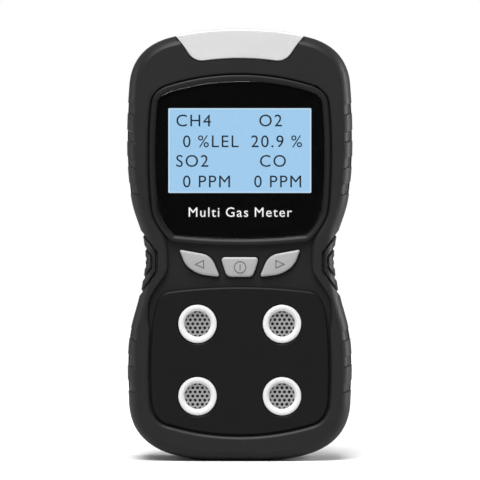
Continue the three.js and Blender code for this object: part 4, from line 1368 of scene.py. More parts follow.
@dataclass
class Keys:
    """Three keys with crowned tops and sunk signs."""

    layout: Layout
    flange: float = 0.9
    stroke: float = 0.3

    def build(self) -> None:
        """Builds each key and its sign."""
        for side, name in ((-1, "left"), (0, "power"), (1, "right")):
            outline = self.layout.power_key() if side == 0 else self.layout.side_key(side)
            outline = even(outline, 0.22)
            low, high = span(f"key_{name}")
            front = low.y
            skirt = [(-self.flange, high.y), (-self.flange, high.y - 0.7), (0, high.y - 0.72)]
            cap = crowned(f"{name}_key_cap", outline, skirt, front, 0.55, 0.75, dish=0.12)
            place(cap, KEY_PLASTIC, "key_plastic", f"key_{name}", body=f"{name}_key")
            # The key's flange and back, seen through the gap round the key, get a black finish: painted shade,
            # so that the gap reads dark.
            cap.data.materials.append(PART_BLACK.material())
            for face in cap.data.polygons:
                face.material_index = int(face.center.y > (high.y - 0.8) * MM)
            sign = self.sign(name, side, front)
            place(sign, ICON_GREY, "key_plastic", body=f"{name}_key")

    def sign(self, name: str, side: int, front: float) -> bpy.types.Object:
        """Builds a key's sign: a triangle, or a ring with a bar.

        Args:
            name: The key's name.
            side: 1 or -1 for a side key, 0 for the middle one.
            front: The key's front face, Y.

        Returns:
            The object.
        """
        z = self.layout.key_z
        top, foot = front - 0.015, front + 0.1
        profile = [(0, foot), (0, top), (self.stroke, top), (self.stroke, foot)]
        if side:
            tip, tail = side * 15.0, side * 11.8
            corners = [(tip, z + 0.9, 0.25), (tail, z + 2.4, 0.25), (tail, z - 0.6, 0.25)]
            shape = rounded(corners if side > 0 else corners[::-1], 4)
            return band(f"{name}_sign", shape, profile)
        ring = band("ring_sign", circle(0.1, z - 0.1, 2.05), profile)
        bar_outline = rectangle(0.1 - self.stroke / 2, 0.1 + self.stroke / 2, z - 1.1, z + 0.9, 0.05)
        bar = prism("bar_sign", bar_outline, top, foot)
        return merge(f"{name}_sign", [ring, bar])


# ---- Gas ports ----


def perforated_tree() -> bpy.types.NodeTree:
    """Builds the node tree that fills a disc with staggered round holes.

    Returns:
        The tree, with inputs for its radius, pitch, hole radius, thickness, place and material.
    """
    tree = bpy.data.node_groups.new("perforated_disc", "GeometryNodeTree")
    for name, kind in (("Radius", "NodeSocketFloat"), ("Pitch", "NodeSocketFloat"),
                       ("Hole Radius", "NodeSocketFloat"), ("Field Radius", "NodeSocketFloat"),
                       ("Thickness", "NodeSocketFloat"), ("Place", "NodeSocketVector"),
                       ("Material", "NodeSocketMaterial")):
        tree.interface.new_socket(name, in_out="INPUT", socket_type=kind)
    tree.interface.new_socket("Geometry", in_out="OUTPUT", socket_type="NodeSocketGeometry")
    nodes, links = tree.nodes, tree.links
    given = nodes.new("NodeGroupInput")
    result = nodes.new("NodeGroupOutput")

    def math_node(operation: str, *values: bpy.types.NodeSocket | float) -> bpy.types.NodeSocket:
        """Adds a maths node whose inputs are sockets or numbers, and returns its output.

        Args:
            operation: What the node does.
            values: What goes into it.

        Returns:
            Its output.
        """
        node = nodes.new("ShaderNodeMath")
        node.operation = operation
        for i, value in enumerate(values):
            if isinstance(value, bpy.types.NodeSocket):
                links.new(value, node.inputs[i])
            else:
                node.inputs[i].default_value = value
        return node.outputs[0]

    side = 13
    cloud = nodes.new("GeometryNodePoints")
    cloud.inputs["Count"].default_value = side * side
    index = nodes.new("GeometryNodeInputIndex").outputs[0]
    row = math_node("FLOOR", math_node("DIVIDE", index, side))
    column = math_node("MODULO", index, side)
    stagger = math_node("MULTIPLY", math_node("MODULO", row, 2), 0.5)
    across = math_node("SUBTRACT", math_node("ADD", column, stagger), side // 2)
    up = math_node("MULTIPLY", math_node("SUBTRACT", row, side // 2), math.sqrt(0.75))
    spot = nodes.new("ShaderNodeCombineXYZ")
    links.new(math_node("MULTIPLY", across, given.outputs["Pitch"]), spot.inputs["X"])
    links.new(math_node("MULTIPLY", up, given.outputs["Pitch"]), spot.inputs["Y"])
    links.new(spot.outputs[0], cloud.inputs["Position"])
    far = nodes.new("ShaderNodeVectorMath")
    far.operation = "LENGTH"
    position = nodes.new("GeometryNodeInputPosition")
    links.new(position.outputs[0], far.inputs[0])
    drop = nodes.new("GeometryNodeDeleteGeometry")
    links.new(cloud.outputs[0], drop.inputs["Geometry"])
    outside = math_node("GREATER_THAN", far.outputs["Value"], given.outputs["Field Radius"])
    links.new(outside, drop.inputs["Selection"])
    hole = nodes.new("GeometryNodeCurvePrimitiveCircle")
    hole.inputs["Resolution"].default_value = 20
    links.new(given.outputs["Hole Radius"], hole.inputs["Radius"])
    copies = nodes.new("GeometryNodeInstanceOnPoints")
    links.new(drop.outputs[0], copies.inputs["Points"])
    links.new(hole.outputs["Curve"], copies.inputs["Instance"])
    real_holes = nodes.new("GeometryNodeRealizeInstances")
    links.new(copies.outputs[0], real_holes.inputs[0])
    rim = nodes.new("GeometryNodeCurvePrimitiveCircle")
    rim.inputs["Resolution"].default_value = 72
    links.new(given.outputs["Radius"], rim.inputs["Radius"])
    both = nodes.new("GeometryNodeJoinGeometry")
    links.new(real_holes.outputs[0], both.inputs[0])
    links.new(rim.outputs["Curve"], both.inputs[0])
    fill = nodes.new("GeometryNodeFillCurve")
    links.new(both.outputs[0], fill.inputs["Curve"])
    thick = nodes.new("GeometryNodeExtrudeMesh")
    thick.inputs["Individual"].default_value = False
    links.new(fill.outputs[0], thick.inputs["Mesh"])
    links.new(given.outputs["Thickness"], thick.inputs["Offset Scale"])
    flip = nodes.new("GeometryNodeFlipFaces")
    links.new(fill.outputs[0], flip.inputs["Mesh"])
    whole = nodes.new("GeometryNodeJoinGeometry")
    links.new(thick.outputs["Mesh"], whole.inputs[0])
    links.new(flip.outputs["Mesh"], whole.inputs[0])
    weld = nodes.new("GeometryNodeMergeByDistance")
    weld.inputs["Distance"].default_value = 1e-6
    links.new(whole.outputs[0], weld.inputs["Geometry"])
    move = nodes.new("GeometryNodeTransform")
    move.inputs["Rotation"].default_value = (math.pi / 2, 0, 0)
    links.new(weld.outputs[0], move.inputs["Geometry"])
    links.new(given.outputs["Place"], move.inputs["Translation"])
    real = nodes.new("GeometryNodeRealizeInstances")
    links.new(move.outputs[0], real.inputs[0])
    paint = nodes.new("GeometryNodeSetMaterial")
    links.new(real.outputs[0], paint.inputs["Geometry"])
    links.new(given.outputs["Material"], paint.inputs["Material"])
    links.new(paint.outputs[0], result.inputs[0])
    return tree


def from_tree(name: str, tree: bpy.types.NodeTree, values: dict[str, object]) -> bpy.types.Object:
    """Runs a node tree and keeps its result as a plain mesh.

    Args:
        name: The piece's name.
        tree: The tree.
        values: A value for each of its named inputs.

    Returns:
        The object.
    """
    obj = bpy.data.objects.new(name, bpy.data.meshes.new(name))
    bpy.context.scene.collection.objects.link(obj)
    modifier = obj.modifiers.new("nodes", "NODES")
    modifier.node_group = tree
    for item in tree.interface.items_tree:
        if item.item_type == "SOCKET" and item.in_out == "INPUT" and item.name in values:
            modifier[item.identifier] = values[item.name]
    bake_modifiers(obj)
    return obj


@dataclass
class GasPorts:
    """The cover plate, and a white ring with a perforated disc for each gas cell."""

    layout: Layout
    ring_radius: float = 6.4
    bore: float = 4.26
    barrel: float = 5.7
    pitch: float = 1.58
    hole_radius: float = 0.5

    def build(self) -> None:
        """Builds the cover and the four ports."""
        self.build_cover()
        tree = perforated_tree()
        for i in range(1, 5):
            self.build_ring(i)
            self.build_mesh(i, tree)

    def build_cover(self) -> None:
        """Builds the raised plate with a soft edge."""
        low, high = span("sensor_cover")
        front, back = low.y, high.y
        profile = [(0, back), (0, front + 0.7), (0.1, front + 0.35), (0.35, front + 0.1), (0.7, front)]
        cover = pillow("cover", even(self.layout.cover(), 0.4), profile)
        cutters = []
        for i in range(1, 5):
            ring = middle(f"sensor_ring_{i}")
            hole = pillow("hole", circle(ring.x, ring.z, self.ring_radius + 0.6), [
                (0, front - 1), (0, front + 0.001), (0.27, front + 0.27), (0.27, back + 1)])
            cutters.append(hole)
        carve(cover, cutters)
        place(cover, COVER_PLASTIC, "housing_plastic", "sensor_cover")

    def build_ring(self, number: int) -> None:
        """Builds one port's ring with a soft outer edge and a dished lip.

        Args:
            number: Which port, from 1.
        """
        node = f"sensor_ring_{number}"
        low, high = span(node)
        centre = middle(node)
        face, back = low.y, high.y
        radius, bore = self.ring_radius, self.bore
        profile = [(radius - 0.7, face), (radius - 0.35, face + 0.06), (radius - 0.12, face + 0.2),
                   (radius, face + 0.5), (radius, face + 1.3), (self.barrel, face + 1.35), (self.barrel, back),
                   (bore + 0.68, back), (bore + 0.68, face + 1.55), (bore, face + 1.5), (bore, face + 1.0),
                   (bore + 0.08, face + 0.7), (bore + 0.3, face + 0.4), (bore + 0.6, face + 0.16),
                   (bore + 0.85, face + 0.03), (bore + 1.1, face)]
        ring = turned(f"port_ring_{number}", profile, centre.x, centre.z)
        place(ring, WHITE_PLASTIC, "white_plastic", node)

    def build_mesh(self, number: int, tree: bpy.types.NodeTree) -> None:
        """Builds one port's perforated disc.

        Args:
            number: Which port, from 1.
            tree: The tree that makes the disc.
        """
        node = f"sensor_mesh_{number}"
        low, high = span(node)
        centre = middle(node)
        disc = from_tree(f"port_mesh_{number}", tree, {
            "Radius": (high.x - low.x) / 2 * MM,
            "Pitch": self.pitch * MM,
            "Hole Radius": self.hole_radius * MM,
            "Field Radius": 4.2 * MM,
            "Thickness": (high.y - low.y) * MM,
            "Place": tuple(Vector((centre.x, high.y, centre.z)) * MM),
            "Material": MESH_STEEL.material(),
        })
        place(disc, MESH_STEEL, "mesh_steel", node)


# ---- Belt clip and screws ----


def spline(points: list[tuple[float, float]], steps: int) -> np.ndarray:
    """Carries a smooth curve through points, with a number of steps between each pair.

    Args:
        points: The points that the curve goes through.
        steps: The steps between each pair of points.

    Returns:
        The curve's points.
    """
    ends = np.array([points[0], *points, points[-1]], float)
    result = []
    for a, b, c, d in zip(ends, ends[1:], ends[2:], ends[3:]):
        for t in np.linspace(0, 1, steps, endpoint=False):
            pull = (2 * b, (c - a) * t, (2 * a - 5 * b + 4 * c - d) * t * t, (3 * b - a - 3 * c + d) * t**3)
            result.append(sum(pull) / 2)
    return np.array(result + [ends[-1]])


def tube(name: str, path: np.ndarray, radius: float, sides: int = 10) -> bpy.types.Object:
    """Builds a round wire along a path, with rounded ends.

    Args:
        name: The piece's name.
        path: The points of its middle line, in millimetres.
        radius: Half its thickness.
        sides: How many sides its section has.

    Returns:
        The object.
    """
    along = np.gradient(path, axis=0)
    along /= np.linalg.norm(along, axis=1, keepdims=True)
    side = np.cross(along[0], (0.3, 0.5, 0.8))
    rings = []
    last = len(path) - 1
    for i, (point, ahead) in enumerate(zip(path, along)):
        side = side - ahead * (side @ ahead)
        side /= np.linalg.norm(side)
        up = np.cross(ahead, side)
        turn = np.linspace(0, 2 * math.pi, sides, endpoint=False)[:, None]
        ring = np.cos(turn) * side + np.sin(turn) * up
        if i == 0:
            rings += [point - ahead * radius * 0.9 + ring * radius * 0.3,
                      point - ahead * radius * 0.6 + ring * radius * 0.75]
        rings.append(point + ring * radius)
        if i == last:
            rings += [point + ahead * radius * 0.6 + ring * radius * 0.75,
                      point + ahead * radius * 0.9 + ring * radius * 0.3]
    return swept(name, np.array(rings), closed=False, smooth_deg=60)


def screw_tree() -> bpy.types.NodeTree:
    """Builds the node tree of a screw with a domed head and a cross recess, that points along Y.

    Returns:
        The tree, with inputs for its sizes, place and material.
    """
    tree = bpy.data.node_groups.new("domed_screw", "GeometryNodeTree")
    for name, kind in (("Head Radius", "NodeSocketFloat"), ("Head Height", "NodeSocketFloat"),
                       ("Shank Radius", "NodeSocketFloat"), ("Length", "NodeSocketFloat"),
                       ("Slot Width", "NodeSocketFloat"), ("Slot Depth", "NodeSocketFloat"),
                       ("Place", "NodeSocketVector"), ("Material", "NodeSocketMaterial")):
        tree.interface.new_socket(name, in_out="INPUT", socket_type=kind)
    tree.interface.new_socket("Geometry", in_out="OUTPUT", socket_type="NodeSocketGeometry")
    nodes, links = tree.nodes, tree.links
    given = nodes.new("NodeGroupInput").outputs
    result = nodes.new("NodeGroupOutput")

    def scaled(value: bpy.types.NodeSocket, factor: float) -> bpy.types.NodeSocket:
        """Returns a value times a factor.

        Args:
            value: The value.
            factor: What it is multiplied by.

        Returns:
            The product.
        """
        node = nodes.new("ShaderNodeMath")
        node.operation = "MULTIPLY"
        links.new(value, node.inputs[0])
        node.inputs[1].default_value = factor
        return node.outputs[0]

    def vector(**parts: bpy.types.NodeSocket) -> bpy.types.NodeSocket:
        """Returns a vector of the named parts.

        Args:
            parts: Its parts, by axis name.

        Returns:
            The vector.
        """
        node = nodes.new("ShaderNodeCombineXYZ")
        for part, value in parts.items():
            links.new(value, node.inputs[part])
        return node.outputs[0]

    def moved(shape: bpy.types.NodeSocket, offset: bpy.types.NodeSocket) -> bpy.types.NodeSocket:
        """Returns a shape moved by an offset.

        Args:
            shape: The shape.
            offset: How far it moves.

        Returns:
            The moved shape.
        """
        node = nodes.new("GeometryNodeTransform")
        links.new(shape, node.inputs["Geometry"])
        links.new(offset, node.inputs["Translation"])
        return node.outputs[0]

    def rod(radius: bpy.types.NodeSocket, depth: bpy.types.NodeSocket, sides: int) -> bpy.types.NodeSocket:
        """Returns a rod that hangs down from the origin.

        Args:
            radius: Its radius.
            depth: Its length.
            sides: How many sides it has.

        Returns:
            The rod.
        """
        node = nodes.new("GeometryNodeMeshCylinder")
        node.inputs["Vertices"].default_value = sides
        links.new(radius, node.inputs["Radius"])
        links.new(depth, node.inputs["Depth"])
        return moved(node.outputs["Mesh"], vector(Z=scaled(depth, -0.5)))

    def boolean(operation: str, base: bpy.types.NodeSocket,
                *others: bpy.types.NodeSocket) -> bpy.types.NodeSocket:
        """Returns shapes cut or intersected.

        Args:
            operation: Whether the shapes are cut or intersected.
            base: The first shape.
            others: The other shapes.

        Returns:
            The result.
        """
        node = nodes.new("GeometryNodeMeshBoolean")
        node.operation = operation
        node.solver = "EXACT"
        if operation == "DIFFERENCE":
            links.new(base, node.inputs["Mesh 1"])
        else:
            links.new(base, node.inputs["Mesh 2"])
        for other in others:
            links.new(other, node.inputs["Mesh 2"])
        return node.outputs["Mesh"]

    dome = nodes.new("GeometryNodeMeshUVSphere")
    dome.inputs["Segments"].default_value = 48
    dome.inputs["Rings"].default_value = 48
    dome_radius = scaled(given["Head Radius"], 2.1)
    links.new(dome_radius, dome.inputs["Radius"])
    head = boolean("INTERSECT", rod(given["Head Radius"], given["Head Height"], 48),
                   moved(dome.outputs["Mesh"], vector(Z=scaled(dome_radius, -1.0))))
    bars = []
    for long_side, short_side in (("X", "Y"), ("Y", "X")):
        bar = nodes.new("GeometryNodeMeshCube")
        size = vector(**{long_side: scaled(given["Head Radius"], 1.25), short_side: given["Slot Width"],
                         "Z": scaled(given["Slot Depth"], 2.0)})
        links.new(size, bar.inputs["Size"])
        bars.append(bar.outputs["Mesh"])
    head = boolean("DIFFERENCE", head, *bars)
    under_head = vector(Z=scaled(given["Head Height"], -0.98))
    shank = moved(rod(given["Shank Radius"], given["Length"], 24), under_head)
    whole = nodes.new("GeometryNodeJoinGeometry")
    links.new(head, whole.inputs[0])
    links.new(shank, whole.inputs[0])
    turn = nodes.new("GeometryNodeTransform")
    turn.inputs["Rotation"].default_value = (-math.pi / 2, 0, 0)
    links.new(whole.outputs[0], turn.inputs["Geometry"])
    links.new(given["Place"], turn.inputs["Translation"])
    real = nodes.new("GeometryNodeRealizeInstances")
    links.new(turn.outputs[0], real.inputs[0])
    paint = nodes.new("GeometryNodeSetMaterial")
    links.new(real.outputs[0], paint.inputs["Geometry"])
    links.new(given["Material"], paint.inputs["Material"])
    links.new(paint.outputs[0], result.inputs[0])
    return tree


@dataclass
class Screws:
    """The domed screws of the case and the clip."""

    head_height: float = 1.25
    shank_share: float = 0.48
    slot_width: float = 0.55
    slot_depth: float = 0.75

    def build(self) -> None:
        """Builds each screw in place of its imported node."""
        tree = screw_tree()
        names = [f"case_screw_{i}" for i in range(1, 5)] + [f"clip_screw_{i}" for i in range(1, 3)]
        for node in names:
            low, high = span(node)
            centre = middle(node)
            radius = (high.x - low.x) / 2
            obj = from_tree(f"domed_{node}", tree, {
                "Head Radius": radius * MM,
                "Head Height": self.head_height * MM,
                "Shank Radius": radius * self.shank_share * MM,
                "Length": (high.y - low.y - self.head_height) * MM,
                "Slot Width": self.slot_width * MM,
                "Slot Depth": self.slot_depth * MM,
                "Place": tuple(Vector((centre.x, high.y, centre.z)) * MM),
                "Material": SCREW_STEEL.material(),
            })
            place(obj, SCREW_STEEL, "fastener_steel", node)


@dataclass
class BeltClip:
    """The sprung jaw of the belt clip, and the wire spring on its pin."""

    layout: Layout
    thickness: float = 1.2
    belt_gap: float = 6.0
    edge: float = 0.3
    wire: float = 0.4
    bore_gap: float = 0.4
    turns: float = 4.5
    turn_pitch: float = 1.3
    leg: float = 8.5
    bead_half: float = 3.6
    bead_depth: float = 0.4
    ear_radius: float = 3.2
    ear_half: float = 6.0

    def __post_init__(self) -> None:
        """Reads where the plate and the pin are."""
        plate_low, plate_high = span("clip_plate")
        centre = middle("clip_pin")
        self.plate_back = plate_low.y + self.thickness
        self.plate_foot, self.plate_top = plate_low.z, plate_high.z
        self.pin_y, self.pin_z = centre.y, centre.z
        self.pin_radius = 1.5
        self.half = span("clip_jaw")[1].x

    @property
    def coil_radius(self) -> float:
        """The radius of the middle line of the coil."""
        return self.pin_radius + self.bore_gap + self.wire

    def jaw_line(self) -> np.ndarray:
        """Returns the middle line of the jaw's sheet in Y and Z, from the thumb tab down.

        Returns:
            The line, as rows of y and z.
        """
        inner = self.plate_back + self.belt_gap + self.thickness / 2
        at_pin = self.pin_y + self.coil_radius + self.wire + 0.3 + self.thickness / 2
        foot = self.plate_foot
        return spline([(at_pin + 3.1, self.plate_top + 5), (at_pin + 0.9, self.pin_z + 9), (at_pin, self.pin_z),
                       (inner + 0.6, self.pin_z - 14), (inner + 0.3, foot + 20), (inner - 1.6, foot + 10),
                       (inner - 4.8, foot + 4.2), (inner - 5.4, foot + 1.6), (inner - 4.2, foot - 1)], 16)

    def build(self) -> None:
        """Builds the plate, the pin, the jaw and the spring."""
        self.build_plate()
        self.build_pin()
        self.build_jaw()
        self.build_spring()

    def build_plate(self) -> None:
        """Builds the plate that is screwed to the case, with an ear on each side for the pin."""
        half = span("clip_plate")[1].x
        front, back, edge = self.plate_back - self.thickness, self.plate_back, 0.2
        outline = even(rectangle(-half, half, self.plate_foot, self.plate_top, 3), 0.5)
        plate = pillow("plate", outline, [(edge, front), (0, front + edge), (0, back - edge), (edge, back)])
        holes = []
        for i in (1, 2):
            screw = middle(f"clip_screw_{i}")
            holes.append(prism("hole", circle(screw.x, screw.z, 1.35), front - 1, back + 1))
        carve(plate, holes)
        turn = np.linspace(-math.pi / 3, math.pi / 3, 19)
        arc = [(self.pin_y + self.ear_radius * math.cos(a), self.pin_z + self.ear_radius * math.sin(a))
               for a in turn]
        foot, head = self.pin_z - self.ear_half, self.pin_z + self.ear_half
        profile = np.array([(front + edge, foot), (back, foot), *arc, (back, head), (front + edge, head)])
        pieces = [plate]
        for sign in (-1, 1):
            x0, x1 = sorted((sign * half, sign * (half - self.thickness)))
            ear = slab("plate_ear", even(profile, 0.4), x0, x1, edge)
            bore = circle(self.pin_y, self.pin_z, self.pin_radius + 0.1, 48)
            carve(ear, [slab("bore", bore, x0 - 1, x1 + 1, 0)])
            pieces.append(ear)
        place(merge("clip_back_plate", pieces), CLIP_STEEL, "clip_steel", "clip_plate")

    def build_pin(self) -> None:
        """Builds the hinge pin with its two domed heads."""
        low, high = span("clip_pin")
        end, head = high.x - 0.8, (high.z - low.z) / 2
        dome = [(head * math.cos(t), end + 0.3 + 0.5 * math.sin(t)) for t in np.linspace(0, 1.4, 7)]
        right = [(self.pin_radius, end), (head - 0.1, end), (head, end + 0.1), *dome]
        left = [(radius, -x) for radius, x in reversed(right)]
        rings = []
        for radius, x in left + right:
            spot = circle(self.pin_y, self.pin_z, radius, 48)
            rings.append(np.stack((np.full(len(spot), x), spot[:, 0], spot[:, 1]), 1))
        pin = swept("hinge_pin", np.array(rings), closed=False)
        place(pin, SCREW_STEEL, "clip_steel", "clip_pin")

    def section(self) -> np.ndarray:
        """Returns the sheet's section: X across it, and how far out of the middle line.

        Returns:
            The section, as rows of x and offset.
        """
        half, thick, edge = self.half, self.thickness / 2, self.edge
        turn = np.linspace(0, math.pi / 2, 5)
        points = []
        for sx, sy in ((1, -1), (1, 1), (-1, 1), (-1, -1)):
            angle = turn if sx == sy else turn[::-1]
            points += [(sx * (half - edge + edge * math.cos(a)), sy * (thick - edge + edge * math.sin(a)))
                       for a in angle]
            if (sx, sy) == (1, 1):
                points += [(x, thick) for x in np.linspace(half - edge - 0.5, -half + edge + 0.5, 31)]
            if (sx, sy) == (-1, -1):
                points += [(x, -thick) for x in np.linspace(-half + edge + 0.5, half - edge - 0.5, 31)]
        return np.array(points)

    def build_jaw(self) -> None:
        """Builds the jaw's pressed sheet, with a long sunk panel and grip ridges on the tab."""
        line = even_open(self.jaw_line(), 0.35)
        along = np.gradient(line, axis=0)
        along /= np.linalg.norm(along, axis=1, keepdims=True)
        outwards = np.stack((-along[:, 1], along[:, 0]), 1)
        section = self.section()
        rings = []
        for (y, z), (oy, oz) in zip(line, outwards):
            fade = step_up(z, self.plate_foot + 8, 3) * step_up(-z, -(self.pin_z - 12), 3)
            bead = self.bead_depth * fade * step_up(self.bead_half - np.abs(section[:, 0]), 0, 0.8)
            tab = step_up(z, self.pin_z + 9.5, 0.6) * step_up(-z, -(self.plate_top + 3.4), 0.6)
            ridge = 0.22 * tab * (0.5 + 0.5 * math.cos(2 * math.pi * z / 1.5))
            ridge = ridge * step_up(self.half - 1.6 - np.abs(section[:, 0]), 0, 0.5) * (section[:, 1] > 0)
            out = section[:, 1] - bead - ridge
            rings.append(np.stack((section[:, 0], y + oy * out, z + oz * out), 1))
        jaw = swept("jaw", np.array(rings), closed=False, smooth_deg=40)
        pieces = [jaw] + [self.flange(sign) for sign in (-1, 1)]
        place(merge("jaw_sheet", pieces), CLIP_STEEL, "clip_steel", "clip_jaw", body="clip_arm")

    def flange(self, sign: int) -> bpy.types.Object:
        """Builds one of the jaw's two ears, with its bore round the pin.

        Args:
            sign: 1 for the right ear, -1 for the left.

        Returns:
            The object.
        """
        back = self.pin_y + self.coil_radius + self.wire + 0.3 + self.thickness / 2
        turn = np.linspace(math.pi * 0.65, math.pi * 1.35, 17)
        outline = [(self.pin_y + 3.2 * math.cos(a), self.pin_z + 3.2 * math.sin(a)) for a in turn]
        outline = np.array([*outline, (back, self.pin_z - 5), (back, self.pin_z + 5)])
        x0, x1 = sorted((sign * self.half, sign * (self.half - self.thickness)))
        ear = slab("ear", even(outline, 0.5), x0, x1, self.edge * 0.6)
        bore = slab("bore", circle(self.pin_y, self.pin_z, self.pin_radius + 0.15, 40), x0 - 1, x1 + 1, 0)
        carve(ear, [bore])
        return ear

    def build_spring(self) -> None:
        """Builds the torsion spring: a coil with one leg on the plate and one on the thumb tab."""
        radius, length = self.coil_radius, self.turns * self.turn_pitch
        start, end = -length / 2, length / 2
        lift = self.pin_z + self.leg
        turn = np.linspace(math.pi, math.pi * (1 + 2 * self.turns), round(self.turns * 28))
        x = np.linspace(start, end, len(turn))
        coil = np.stack((x, self.pin_y + radius * np.cos(turn), self.pin_z + radius * np.sin(turn)), 1)
        rest = self.plate_back + self.wire + 0.06
        tab = self.pin_y + radius + 1.15
        share = np.linspace(0, 1, 14)[:-1]
        ease = share**2 * (3 - 2 * share)
        on_plate = np.stack((np.full(13, start), rest + (self.pin_y - radius - rest) * ease,
                             lift + (self.pin_z - lift) * share), 1)
        on_tab = np.stack((np.full(13, end), self.pin_y + radius + (tab - self.pin_y - radius) * ease,
                           self.pin_z + (lift - self.pin_z) * share), 1)[1:]
        spring = tube("torsion_spring", np.vstack((on_plate, coil, on_tab)), self.wire)
        dress(spring, CLIP_STEEL)
        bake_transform(spring)
        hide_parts("clip_spring")
        LOG.info("torsion_spring: between %s and clip_arm", HOME_BODY)


def step_up(value: np.ndarray, start: float, width: float) -> np.ndarray:
    """Returns a smooth rise from 0 at start to 1 a width later."""
    share = np.clip((value - start) / width, 0, 1)
    return share * share * (3 - 2 * share)


def even_open(points: np.ndarray, spacing: float) -> np.ndarray:
    """Returns an open line again with points at an even spacing.

    Args:
        points: The line, as rows of coordinates.
        spacing: The distance wanted between points, in millimetres.

    Returns:
        The line with its new points.
    """
    length = np.concatenate(([0], np.cumsum(np.linalg.norm(np.diff(points, axis=0), axis=1))))
    at = np.linspace(0, length[-1], round(length[-1] / spacing))
    return np.stack((np.interp(at, length, points[:, 0]), np.interp(at, length, points[:, 1])), 1)


def slab(name: str, outline: np.ndarray, x0: float, x1: float, edge: float) -> bpy.types.Object:
    """Builds a sheet from an outline in Y and Z, between two X, with its edges eased.

    Args:
        name: The object's name.
        outline: The outline, as rows of y and z.
        x0: The lower X, in millimetres.
        x1: The upper X.
        edge: How far its edges are eased.

    Returns:
        The object.
    """
    steps = [(edge, x0), (0, x0 + edge), (0, x1 - edge), (edge, x1)]
    rings = []
    for step, x in steps:
        points = inset(outline, step)
        rings.append(np.stack((np.full(len(points), x), points[:, 0], points[:, 1]), 1))
    return swept(name, np.array(rings), closed=False)


# ---- Charging flap ----


@dataclass
class ChargeFlap:
    """The rubber flap over the charging socket, with a rolled hinge edge and a thumb lift."""

    barrel: float = 1.05
    pin: float = 0.5
    corner: float = 1.0
    edge: float = 0.18

    def build(self) -> None:
        """Builds the flap round its hinge."""
        low, high = span("charge_flap")
        half = high.x
        hinge_y, hinge_z = high.y - 1.1, high.z - self.barrel
        leaf_back, leaf_front = high.y - 0.65, high.y - 2.05
        leaf_top = hinge_z - 0.8
        outline = even(rectangle(-half, half, low.z, leaf_top, self.corner), 0.3)
        leaf = pillow("leaf", outline, [(self.edge, leaf_front), (0, leaf_front + self.edge),
                                        (0, leaf_back - self.edge), (self.edge, leaf_back)])
        panel = even(rectangle(-half + 1.6, half - 1.6, low.z + 2.9, leaf_top - 1.4, 0.8), 0.3)
        rim = [(0, leaf_back + 0.05), (0, leaf_back - 0.16), (0.35, leaf_back - 0.16), (0.35, leaf_back + 0.05)]
        carve(leaf, [band("groove", panel, rim)])
        lift_foot = low.z + 0.6
        lift = pillow("lift", even(rectangle(-3, 3, lift_foot, lift_foot + 1.2, 0.45), 0.2), [
            (0, leaf_back - 0.3), (0, high.y - 0.3), (0.1, high.y - 0.1), (0.28, high.y)])
        roll = slab("roll", circle(hinge_y, hinge_z, self.barrel, 40), -half, half, self.edge)
        carve(roll, [slab("bore", circle(hinge_y, hinge_z, self.pin + 0.1, 24), -half - 1, half + 1, 0)])
        flap = merge("socket_flap", [leaf, roll, lift])
        place(flap, BOOT_RUBBER, "boot_rubber", "charge_flap", body="port_flap")


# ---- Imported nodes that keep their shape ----


@dataclass
class CarriedNodes:
    """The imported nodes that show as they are, with a finish for each."""

    def build(self) -> None:
        """Gives every node that is not replaced its finish."""
        finishes = {
            "housing_plastic": HOUSING_PLASTIC, "boot_rubber": BOOT_RUBBER, "seal_rubber": SEAL_RUBBER,
            "clip_steel": CLIP_STEEL, "fastener_steel": SCREW_STEEL, "motor_metal": SCREW_STEEL,
            "board_green": BOARD_GREEN, "cell_plastic": CELL_PLASTIC_AND_HOLE_SHADE, "battery_wrap": BATTERY_WRAP,
            "ribbon_film": RIBBON_FILM, "part_black": PART_BLACK, "white_plastic": WHITE_PLASTIC,
            "lens_plastic": LENS_PLASTIC,
        }
        slots = {s["node"]: s["material_slot"] for s in frame["record"]["subparts"]}
        for name, node in frame["nodes"].items():
            if not node.hide_render and slots[name] in finishes:
                dress(node, finishes[slots[name]])


# ---- Studio ----


